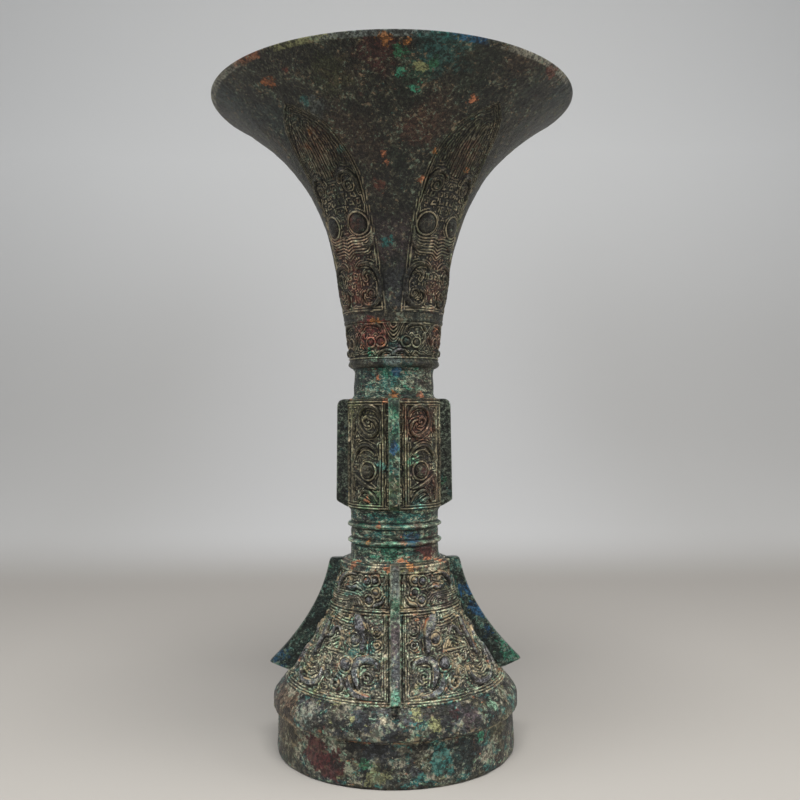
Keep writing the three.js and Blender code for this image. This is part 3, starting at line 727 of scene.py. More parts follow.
def vectorNode(tree, operation, first, second=None):
    node = tree.nodes.new("ShaderNodeVectorMath")
    node.operation = operation
    put(tree, first, node.inputs[0])
    put(tree, second, node.inputs[1])
    return node


patchNoise = {"detail": 5.0, "roughness": 0.6, "distortion": 0.4, "fineTimes": 1.5, "finePlus": 420.0,
              "fineDetail": 1.0, "fineRoughness": 0.5, "bare": 0.74, "full": 0.26}


def patinaPatches():  # ragged patches: the share they cover, and how soft and stippled their edges are
    tree, given, out = newGroup(
        "patinaPatches",
        [("Vector", "NodeSocketVector", None), ("Scale", "NodeSocketFloat", 60.0),
         ("Coverage", "NodeSocketFloat", 0.4), ("Softness", "NodeSocketFloat", 0.05),
         ("Stipple", "NodeSocketFloat", 0.3), ("Offset", "NodeSocketVector", None)],
        [("Mask", "NodeSocketFloat")],
    )
    own = patchNoise
    scale = given.outputs["Scale"]
    moved = vectorNode(tree, "ADD", given.outputs["Vector"], given.outputs["Offset"]).outputs[0]
    broad = noiseNode(tree, moved, scale, own["detail"], own["roughness"], own["distortion"]).outputs[0]
    fineScale = mathNode(tree, "ADD", mathNode(tree, "MULTIPLY", scale, own["fineTimes"]), own["finePlus"])
    fine = noiseNode(tree, moved, fineScale, own["fineDetail"], own["fineRoughness"]).outputs[0]
    speck = mathNode(tree, "MULTIPLY", centred(tree, fine), given.outputs["Stipple"])
    level = mapRange(tree, given.outputs["Coverage"], 0.0, 1.0, own["bare"], own["full"])
    edge = mathNode(tree, "ADD", level, given.outputs["Softness"])
    tree.links.new(mapRange(tree, mathNode(tree, "ADD", broad, speck), level, edge), out.inputs["Mask"])
    return tree


crystalNoise = {"detail": 2.0, "roughness": 0.8, "distortion": 0.4, "clusterTimes": 0.22,
                "clusterRoughness": 0.6, "light": (0.575, 0.6), "dark": (0.43, 0.41), "tintTimes": 0.8,
                "tintRoughness": 0.5, "tint": (0.4, 0.6)}


def mineralGrain():  # salt and pepper of crystals, in loose clusters
    tree, given, out = newGroup(
        "mineralGrain",
        [("Vector", "NodeSocketVector", None), ("Scale", "NodeSocketFloat", 1100.0),
         ("Cluster", "NodeSocketFloat", 0.3), ("Sparse", "NodeSocketFloat", 0.0)],
        [("Light", "NodeSocketFloat"), ("Dark", "NodeSocketFloat"), ("Tint", "NodeSocketFloat")],
    )
    own = crystalNoise
    vector, scale = given.outputs["Vector"], given.outputs["Scale"]
    fine = noiseNode(tree, vector, scale, own["detail"], own["roughness"], own["distortion"]).outputs[0]
    clusterScale = mathNode(tree, "MULTIPLY", scale, own["clusterTimes"])
    broad = noiseNode(tree, vector, clusterScale, own["detail"], own["clusterRoughness"]).outputs[0]
    clustered = mathNode(tree, "MULTIPLY", centred(tree, broad), given.outputs["Cluster"])
    level = mathNode(tree, "ADD", fine, clustered)
    bright = mathNode(tree, "SUBTRACT", level, given.outputs["Sparse"])
    tree.links.new(mapRange(tree, bright, *own["light"]), out.inputs["Light"])
    tree.links.new(mapRange(tree, level, *own["dark"]), out.inputs["Dark"])
    tintScale = mathNode(tree, "MULTIPLY", scale, own["tintTimes"])
    tint = noiseNode(tree, vector, tintScale, own["detail"], own["tintRoughness"]).outputs[0]
    tree.links.new(mapRange(tree, tint, *own["tint"]), out.inputs["Tint"])
    return tree


spotNoise = {"scaleShare": 0.9, "detail": 4.0, "roughness": 0.65, "ragTimes": 6.0, "fineScale": 620.0,
             "fineDetail": 2.0, "fineRoughness": 0.6, "erodeTimes": 3.0}


def localSpot():  # one patch of mineral at a place of its own
    tree, given, out = newGroup(
        "localSpot",
        [("Vector", "NodeSocketVector", None), ("Centre", "NodeSocketVector", None),
         ("Radius", "NodeSocketFloat", 0.003), ("Rag", "NodeSocketFloat", 0.6),
         ("Edge", "NodeSocketFloat", 0.12)],
        [("Mask", "NodeSocketFloat")],
    )
    own = spotNoise
    vector, radius, rag = (given.outputs[label] for label in ("Vector", "Radius", "Rag"))
    apart = vectorNode(tree, "DISTANCE", vector, given.outputs["Centre"]).outputs["Value"]
    broadScale = mathNode(tree, "DIVIDE", own["scaleShare"], radius)
    broad = noiseNode(tree, vector, broadScale, own["detail"], own["roughness"]).outputs[0]
    ragged = mathNode(tree, "MULTIPLY", centred(tree, broad),
                      mathNode(tree, "MULTIPLY", rag, own["ragTimes"]))
    fine = noiseNode(tree, vector, own["fineScale"], own["fineDetail"], own["fineRoughness"]).outputs[0]
    eroded = mathNode(tree, "MULTIPLY", centred(tree, fine),
                      mathNode(tree, "MULTIPLY", rag, own["erodeTimes"]))
    reach = mathNode(tree, "ADD", mathNode(tree, "DIVIDE", apart, radius), ragged)
    inner = mathNode(tree, "SUBTRACT", 1.0, given.outputs["Edge"])
    tree.links.new(mapRange(tree, mathNode(tree, "ADD", reach, eroded), 1.0, inner), out.inputs["Mask"])
    return tree


scratches = {"turns": ((0.75, 0.7), (-0.75, 0.7), (0.75, -0.7)), "stretch": 7.0, "detail": 2.0,
             "roughness": 0.6, "line": (0.56, 0.62), "pitDetail": 4.0, "pitRoughness": 0.7,
             "pit": (0.52, 0.58)}


def castGrain():  # fine crossing scratches, or round casting pits, as one value
    tree, given, out = newGroup(
        "castGrain",
        [("Vector", "NodeSocketVector", None), ("Scale", "NodeSocketFloat", 700.0),
         ("Hatch", "NodeSocketFloat", 0.5)],
        [("Value", "NodeSocketFloat")],
    )
    own = scratches
    vector, scale = given.outputs["Vector"], given.outputs["Scale"]
    total = None
    for turn, side in own["turns"]:
        mapping = tree.nodes.new("ShaderNodeMapping")
        mapping.vector_type = "TEXTURE"
        mapping.inputs["Rotation"].default_value = (side, turn, 0.0)
        mapping.inputs["Scale"].default_value = (1.0, 1.0, own["stretch"])
        tree.links.new(vector, mapping.inputs["Vector"])
        line = noiseNode(tree, mapping.outputs[0], scale, own["detail"], own["roughness"]).outputs[0]
        total = line if total is None else mathNode(tree, "MAXIMUM", total, line)
    pits = noiseNode(tree, vector, scale, own["pitDetail"], own["pitRoughness"]).outputs[0]
    hatch = mapRange(tree, total, *own["line"])
    grain = mapRange(tree, pits, *own["pit"])
    mixed = tree.nodes.new("ShaderNodeMix")
    put(tree, given.outputs["Hatch"], mixed.inputs[0])
    put(tree, grain, mixed.inputs[2])
    put(tree, hatch, mixed.inputs[3])
    tree.links.new(mixed.outputs[0], out.inputs["Value"])
    return tree


def reliefWearAndPaintedLight():  # painted shade in the grooves and painted highlight mixed with worn metal on the ridges, after the mesh's own layers
    tree, given, out = newGroup(
        "reliefWearAndPaintedLight",
        [("Colour", "NodeSocketColor", None), ("Crest", "NodeSocketFloat", 0.0),
         ("Hollow", "NodeSocketFloat", 0.0), ("Ridge Colour", "NodeSocketColor", None),
         ("Recess Colour", "NodeSocketColor", None), ("Ridge", "NodeSocketFloat", 0.7),
         ("Recess", "NodeSocketFloat", 0.7)],
        [("Colour", "NodeSocketColor")],
    )
    low = mathNode(tree, "MULTIPLY", given.outputs["Hollow"], given.outputs["Recess"])
    high = mathNode(tree, "MULTIPLY", given.outputs["Crest"], given.outputs["Ridge"])
    sunk = mixColour(tree, low, given.outputs["Colour"], given.outputs["Recess Colour"])
    wearAndPaintedLight = mixColour(tree, high, sunk, given.outputs["Ridge Colour"])
    tree.links.new(wearAndPaintedLight, out.inputs["Colour"])
    return tree


effects = (patinaPatches, mineralGrain, localSpot, castGrain, reliefWearAndPaintedLight)
groups = {build.__name__: build() for build in effects}


def placeGroup(tree, name, **values):
    node = tree.nodes.new("ShaderNodeGroup")
    node.node_tree = groups[name]
    for label, value in values.items():
        put(tree, value, node.inputs[label.replace("_", " ")])
    return node


def shade(red, green, blue):  # a display colour, 0 to 255, as the linear values that shaders take
    shown = [value / 255 for value in (red, green, blue)]
    linear = [value / 12.92 if value <= 0.04045 else ((value + 0.055) / 1.055) ** 2.4 for value in shown]
    return (*linear, 1.0)


minerals = {
    "copper": shade(194, 124, 86), "amber": shade(192, 128, 70), "rust": shade(150, 90, 50),
    "brick": shade(112, 60, 46), "crimson": shade(132, 58, 52), "maroon": shade(84, 36, 36),
    "plum": shade(84, 66, 72), "umber": shade(76, 58, 46), "tan": shade(150, 122, 94),
    "malachite": shade(58, 120, 84), "viridian": shade(66, 150, 118), "teal": shade(52, 122, 116),
    "azurite": shade(36, 94, 138), "deep": shade(38, 54, 52), "pine": shade(48, 60, 48),
    "moss": shade(78, 84, 46), "olive": shade(88, 84, 58), "mint": shade(142, 180, 150),
    "lichen": shade(156, 158, 108), "cream": shade(208, 198, 168), "pebble": shade(158, 156, 140),
    "ash": shade(116, 126, 122), "slate": shade(66, 70, 76), "night": shade(24, 27, 24),
    "lavender": shade(122, 118, 124),
}


def outerRadius(height):  # radius of the outside of the vessel at a height
    heights, radii = zip(*vesselOutline)
    return float(np.interp(height, heights, radii))


# Patches that every bronze has: offset of the noise, scale, coverage and softness
patchesOf = {
    "skin": (0.1, 30.0, 0.5, 0.16), "form": (1.7, 90.0, 0.72, 0.1), "ridge": (1.8, 100.0, 0.5, 0.1),
    "broken": (1.9, 180.0, 0.6, 0.16), "dustAndHighlight": (2.0, 75.0, 0.44, 0.05),
}
bloomOffset = 0.2
bloomStep = 0.1
copperPatches = (2.1, 200.0)  # these two take their coverage from the look
ledgePatches = (2.2, 130.0)
thinEdge = 0.05
washEdge = (0.5, 0.5)  # how ragged a wash is, and how soft
spotSoftness = 0.2
finish = {"mottleScale": 560.0, "mottleRange": (0.44, 0.56), "leastBroken": 0.5, "lineFrom": 0.3,
          "crystalRough": 0.22, "crestShine": 0.14, "metallic": (0.08, 0.35), "bumpDepth": 0.0005}


def bronze(name, look):
    material = bpy.data.materials.new(name)
    material.use_nodes = True
    tree = material.node_tree
    shader = tree.nodes["Principled BSDF"]
    place = tree.nodes.new("ShaderNodeTexCoord").outputs["Object"]
    drawn = vectorNode(tree, "MULTIPLY", place, (1.0, 1.0, look["flat"])).outputs[0]
    seed = look.get("seed", 0.0)

    def layer(label):
        node = tree.nodes.new("ShaderNodeAttribute")
        node.attribute_name = label
        return node.outputs["Fac"]

    def patches(offset, scale, coverage, softness=0.012, stipple=look["stipple"]):
        shift = offset + seed
        return placeGroup(tree, "patinaPatches", Vector=drawn, Scale=scale, Coverage=coverage,
                          Softness=softness, Stipple=stipple,
                          Offset=(shift, shift * 0.7, -shift)).outputs[0]

    layers = ("crest", "hollow", "thread", "form", "ledge")
    crest, hollow, thread, form, ledge = (layer(label) for label in layers)
    scratch = placeGroup(tree, "castGrain", Vector=place, Scale=look["grainScale"],
                         Hatch=look["hatch"]).outputs["Value"]
    crystals = placeGroup(tree, "mineralGrain", Vector=drawn, Scale=look["crystalScale"],
                          Cluster=look["cluster"], Sparse=look["sparse"])

    def shared(mask, share):
        return mathNode(tree, "MULTIPLY", mask, share)

    colour = mixColour(tree, patches(*patchesOf["skin"]), look["skin"], look["skinTwo"])
    colour = mixColour(tree, shared(scratch, look["grainShare"]), colour, look["grainColour"])
    for number, (mineral, scale, coverage, share) in enumerate(look["blooms"]):
        mask = patches(bloomOffset + bloomStep * number, scale, coverage)
        colour = mixColour(tree, shared(mask, share), colour, minerals[mineral])
    for azimuth, height, radius, mineral, share in look.get("washes", []):
        mask = spotMask(tree, place, look, azimuth, height, radius, *washEdge)
        colour = mixColour(tree, shared(mask, share), colour, minerals[mineral])
    # colours of the lip's edge: patina, and painted highlight where the edge faces down and away from the
    # light
    for azimuth, radius, mineral, share in look.get("rim", []):
        mask = shared(spotMask(tree, place, look, azimuth, rimHeight, radius, *washEdge),
                      rimBand(tree, place))
        colour = mixColour(tree, shared(mask, share), colour, minerals[mineral])
    smooth = shared(form, shared(patches(*patchesOf["form"]), look["formShare"]))
    colour = mixColour(tree, smooth, colour, look["formColour"])
    fleck = mixColour(tree, crystals.outputs["Tint"], look["fleck"], look["fleckTwo"])
    colour = mixColour(tree, shared(crystals.outputs["Light"], look["lightShare"]), colour, fleck)
    for azimuth, height, radius, mineral, share in look.get("spots", []):
        mask = spotMask(tree, place, look, azimuth, height, radius, look["rag"], spotSoftness)
        colour = mixColour(tree, shared(mask, share), colour, minerals[mineral])
    colour = mixColour(tree, shared(crystals.outputs["Dark"], look["darkShare"]), colour, look["recess"])
    grain = crystalNoise["detail"], crystalNoise["roughness"], crystalNoise["distortion"]
    mottle = noiseNode(tree, place, finish["mottleScale"], *grain).outputs[0]
    darker, lighter = (look["tone"] * (1 + sign * look["mottle"]) for sign in (-1, 1))
    grey = mapRange(tree, mottle, *finish["mottleRange"], darker, lighter)
    colour = mixColour(tree, 1.0, colour, grey, "MULTIPLY")
    # ridge colour: painted highlight mixed with worn metal, with copper patches, broken into patches and
    # faded with height where the look asks
    ridge = mixColour(tree, patches(*patchesOf["ridge"]), look["ridge"], look["ridgeTwo"])
    ridge = mixColour(tree, patches(*copperPatches, look["copper"], thinEdge), ridge, minerals["copper"])
    # a lit copy of the surface colour, mixed into the painted highlight
    litCopy = vectorNode(tree, "SCALE", colour)
    litCopy.inputs["Scale"].default_value = look["lift"]
    ridge = mixColour(tree, look["local"], ridge, litCopy.outputs[0])
    broken = mapRange(tree, patches(*patchesOf["broken"]), 0.0, 1.0, finish["leastBroken"], 1.0)
    if "ridgeFade" in look:
        low, high, least = look["ridgeFade"]
        apart = tree.nodes.new("ShaderNodeSeparateXYZ")
        put(tree, place, apart.inputs[0])
        broken = shared(broken, mapRange(tree, apart.outputs[2], low * toMetres, high * toMetres, 1.0, least))
    edges = shared(crest, mathNode(tree, "SUBTRACT", 1.0, shared(form, look["formPlain"])))
    lines = mapRange(tree, mathNode(tree, "MAXIMUM", edges, thread), finish["lineFrom"], 1.0)
    # painted shade in the grooves and painted highlight over worn metal on the ridges
    wearAndPaintedLight = placeGroup(tree, "reliefWearAndPaintedLight", Colour=colour, Crest=shared(lines, broken), Hollow=hollow,
                      Ridge_Colour=ridge, Recess_Colour=look["recess"], Ridge=look["ridgeShare"],
                      Recess=look["recessShare"])
    colour = wearAndPaintedLight.outputs[0]
    # dust with a painted highlight in ridge and copper colours, on the upward slopes
    dustAndHighlight = mixColour(tree, patches(*patchesOf["dustAndHighlight"]), look["ridge"], minerals["copper"])
    onLedges = patches(*ledgePatches, look["ledge"], thinEdge)
    colour = mixColour(tree, shared(ledge, onLedges), colour, dustAndHighlight)
    tree.links.new(colour, shader.inputs["Base Color"])
    roughest = look["roughness"] + finish["crystalRough"]
    rough = mapRange(tree, crystals.outputs["Light"], 0.0, 1.0, look["roughness"], roughest)
    polished = mathNode(tree, "MULTIPLY", crest, finish["crestShine"])
    tree.links.new(mathNode(tree, "SUBTRACT", rough, polished), shader.inputs["Roughness"])
    tree.links.new(mapRange(tree, crest, 0.0, 1.0, *finish["metallic"]), shader.inputs["Metallic"])
    grains = mathNode(tree, "SUBTRACT", crystals.outputs["Light"], crystals.outputs["Dark"])
    height = mathNode(tree, "ADD", scratch, grains)
    bump = tree.nodes.new("ShaderNodeBump")
    bump.inputs["Strength"].default_value = look["bump"]
    bump.inputs["Distance"].default_value = finish["bumpDepth"]
    tree.links.new(height, bump.inputs["Height"])
    tree.links.new(bump.outputs[0], shader.inputs["Normal"])
    return material


lipDepths = (2.4, 1.9)  # where the lip's colours, partly painted highlight, start and are full, below the rim


def rimBand(tree, place):  # the narrow edge of the lip, whose colours are partly painted highlight
    apart = tree.nodes.new("ShaderNodeSeparateXYZ")
    put(tree, place, apart.inputs[0])
    return mapRange(tree, apart.outputs[2], *((rimHeight - depth) * toMetres for depth in lipDepths))


def spotMask(tree, place, look, azimuth, height, radius, rag, edge):
    turn = math.radians(azimuth)
    reach = look["reachAt"](height) if "reachAt" in look else outerRadius(height)
    centre = (reach * math.sin(turn) * toMetres, -reach * math.cos(turn) * toMetres, height * toMetres)
    spot = placeGroup(tree, "localSpot", Vector=place, Centre=centre, Radius=radius * toMetres, Rag=rag,
                      Edge=edge)
    return spot.outputs[0]


# Sections
shelfHeight = stemFoot - wall


bell = {"foot": 54.6, "shelf": 27, "cone": 0.28, "flare": 0.72}
trumpet = {"foot": 25.1, "lip": 88.6, "cone": 0.243, "flare": 0.757, "bend": 3.43}


def bellPoint(t):  # hollow flare of the foot bell, t from its foot to its shelf
    fall = 1 - t
    flare = bell["cone"] * fall + bell["flare"] * fall * fall
    radius = bell["shelf"] + (bell["foot"] - bell["shelf"]) * flare
    return radius, bellFoot + (shelfHeight - bellFoot) * t


def trumpetPoint(t):  # flare of the mouth, t from its foot to the underside of the lip
    flare = trumpet["cone"] * t + trumpet["flare"] * t ** trumpet["bend"]
    radius = trumpet["foot"] + (trumpet["lip"] - trumpet["foot"]) * flare
    return radius, trumpetFoot + (rimHeight - wall - trumpetFoot) * t


wallSteps = 60
steps = np.linspace(0, 1, wallSteps)
bellWall = [bellPoint(t) for t in steps]
trumpetWall = [trumpetPoint(t) for t in steps]
ringWall = [(57.5, 0), (58.4, 0.8), (58.6, 2.4), (58.3, 12), (58.0, 20.5), (58.4, 20.8), (59.6, 21.2),
            (60.1, 22.4), (60.35, 24.8), (60.2, 26.8), (59.4, 28.6), (57.0, 31.6), (54.6, bellFoot)]


def insideOf(points, depth):
    line = np.array(points, float)
    tangent = np.gradient(line, axis=0)
    tangent /= np.hypot(*tangent.T)[:, None]
    return np.column_stack([line[:, 0] - tangent[:, 1] * depth, line[:, 1] + tangent[:, 0] * depth])


stem = {"radius": 21.7, "string": 1.35, "stringWidth": 1.1, "head": 1.3, "foot": 1.0, "fillet": 0.9}
collar = {"radius": 19.6, "barrel": 0.4, "barrelEnd": 0.8, "foot": 1.9, "footFillet": 0.9, "head": 0.9,
          "headFillet": 0.8}


def bowstringProfile(height):
    places = [(height - stemFoot - middle) / stem["stringWidth"] for middle in bowstrings]
    strings = sum(stem["string"] * math.exp(-(place**2)) for place in places)
    head = stem["head"] * math.exp(-(waistFoot - height) / stem["fillet"])
    foot = stem["foot"] * math.exp(-(height - stemFoot) / stem["fillet"])
    return stem["radius"] + strings + (head + foot)


stemWall = [(bowstringProfile(z), z) for z in np.linspace(stemFoot, waistFoot, 2 * wallSteps)]
waistWall = [(19.9, waistFoot), (22.5, waistFoot), (23.0, waistFoot + 0.4), (23.2, waistFoot + 1.0),
             (23.2, collarFoot - 1.0), (23.0, collarFoot - 0.4), (22.5, collarFoot), (17.8, collarFoot)]
waistLead = 2.6


def collarProfile(height):
    t = (height - collarFoot) / (bandFoot - collarFoot)
    barrel = collar["barrel"] * math.sin(math.pi * min(1, t / collar["barrelEnd"])) ** 2
    foot = collar["foot"] * math.exp(-(height - collarFoot) / collar["footFillet"])
    head = collar["head"] * math.exp(-(bandFoot - height) / collar["headFillet"])
    return collar["radius"] + barrel + (foot + head)


collarWall = [(collarProfile(z), z) for z in np.linspace(collarFoot, bandFoot, wallSteps)]
bandWall = [(17.9, bandFoot), (20.4, bandFoot), (21.9, bandFoot + 0.7), (22.7, bandFoot + 1.5),
            (22.9, bandFoot + 2.3), (22.6, bandFoot + 3.3), (22.1, bandFoot + 3.9), (22.3, bandFoot + 4.3),
            (23.95, trumpetFoot - 4.5), (24.7, trumpetFoot - 4.1), (24.8, trumpetFoot - 2.8),
            (24.5, trumpetFoot - 2.3), (24.9, trumpetFoot - 1.8), (25.0, trumpetFoot - 0.6),
            (25.0, trumpetFoot)]
bandLength = np.concatenate([[0], np.cumsum(np.hypot(*np.diff(np.array(bandWall), axis=0).T))])
outside = [*ringWall, *bellWall, (stem["radius"], stemFoot), *stemWall, *waistWall[2:6], *collarWall,
           *bandWall[2:], *trumpetWall]
vesselOutline = [(height, radius) for radius, height in outside]

smoothSkin = {"lump": 0.22, "dent": 0.1, "pit": 0.06}
plainSkin = {"lump": 0.3, "dent": 0.16, "pit": 0.09}

print("making the patinas")
# A look holds its two skins, then what lies on them. Blooms: mineral, scale, coverage, share.
# Washes and spots: degrees from the front, height and radius in mm, mineral, share.
# Rim: the same at the lip, partly painted highlight on its down-facing edge.
# ridge, ridgeTwo, ridgeShare, lift, local and copper: painted highlight over worn metal on crests and lines;
# recess: painted shade in the grooves, also the colour of the dark grains; ledge: dust and painted highlight
# on upward slopes
darkLook = {
    "skin": shade(42, 41, 34), "skinTwo": shade(34, 40, 35), "flat": 1.0, "grainScale": 900.0, "hatch": 0.8,
    "grainShare": 0.5, "grainColour": shade(104, 104, 84), "formPlain": 0.6,
    "blooms": [("umber", 50.0, 0.34, 0.3), ("pine", 70.0, 0.36, 0.6), ("night", 90.0, 0.4, 0.6),
               ("brick", 90.0, 0.2, 0.3), ("deep", 200.0, 0.3, 0.5), ("teal", 340.0, 0.2, 0.5),
               ("rust", 420.0, 0.16, 0.6), ("copper", 520.0, 0.14, 0.9)],
    "crystalScale": 620.0, "cluster": 0.8, "lightShare": 0.45, "darkShare": 0.7,
    "fleck": shade(150, 162, 142), "fleckTwo": shade(152, 138, 112), "formShare": 0.35,
    "formColour": shade(70, 66, 60), "ridge": shade(232, 214, 176), "ridgeTwo": shade(176, 184, 146),
    "ridgeShare": 1.0, "recess": shade(11, 10, 8), "recessShare": 0.95, "copper": 0.24, "lift": 4.0,
    "local": 0.4, "ledge": 0.3, "tone": 0.86, "mottle": 0.5, "roughness": 0.42, "bump": 0.9, "sparse": 0.0,
    "stipple": 0.16, "rag": 0.65,
}
greenLook = {
    **darkLook, "seed": 3.1, "skin": shade(58, 80, 70), "skinTwo": shade(42, 62, 56), "hatch": 0.3,
    "grainShare": 0.4, "grainColour": shade(116, 130, 110),
    "blooms": [("olive", 50.0, 0.36, 0.5), ("plum", 70.0, 0.34, 0.6), ("teal", 90.0, 0.46, 0.7),
               ("mint", 180.0, 0.4, 0.8), ("night", 140.0, 0.4, 0.8), ("viridian", 160.0, 0.36, 0.7),
               ("cream", 300.0, 0.32, 0.9), ("copper", 260.0, 0.26, 0.9)],
    "fleck": shade(176, 196, 172), "fleckTwo": shade(196, 190, 160), "lightShare": 0.75, "darkShare": 0.8,
    "recess": shade(12, 16, 13), "ridge": shade(204, 206, 178), "ridgeTwo": shade(140, 176, 150),
    "ridgeShare": 0.8,
}
footLook = {
    **greenLook, "seed": 5.3, "skin": shade(92, 88, 76), "skinTwo": shade(70, 74, 68), "flat": 1.3,
    "blooms": [("slate", 50.0, 0.42, 0.6), ("umber", 60.0, 0.38, 0.6), ("maroon", 70.0, 0.28, 0.7),
               ("lichen", 150.0, 0.34, 0.6), ("teal", 110.0, 0.4, 0.7), ("mint", 200.0, 0.38, 0.8),
               ("night", 150.0, 0.38, 0.8), ("cream", 320.0, 0.28, 0.8), ("copper", 280.0, 0.25, 0.9)],
    "fleck": shade(180, 172, 150), "fleckTwo": shade(152, 166, 142), "formShare": 0.75,
    "formColour": shade(122, 122, 128), "ridge": shade(208, 186, 146), "ridgeTwo": shade(160, 172, 126),
    "ridgeShare": 0.85, "local": 0.68, "lift": 3.3, "copper": 0.34, "ledge": 0.46,
    "recess": shade(12, 12, 9), "recessShare": 0.95,
}
sideFlangeLook = {
    **greenLook, "seed": 7.7, "skin": shade(26, 46, 44), "skinTwo": shade(24, 34, 32),
    "blooms": [("umber", 60.0, 0.3, 0.5), ("teal", 110.0, 0.3, 0.5), ("night", 110.0, 0.4, 0.6),
               ("azurite", 180.0, 0.22, 0.5), ("malachite", 220.0, 0.26, 0.6), ("mint", 420.0, 0.22, 0.9),
               ("rust", 360.0, 0.15, 0.8)],
    "lightShare": 0.48, "fleck": shade(112, 164, 148), "fleckTwo": shade(160, 172, 150),
    "ridge": shade(140, 146, 126), "ridgeTwo": shade(98, 126, 112), "ridgeShare": 0.4, "copper": 0.0,
    "ledge": 0.0, "tone": 0.8,
}


def footEdgeReach(height):  # free edge of the foot flanges
    return float(np.interp(height, (40, 50, 60, 70, 80, 92), (62.8, 52.4, 44.2, 38.6, 35.2, 32.6)))


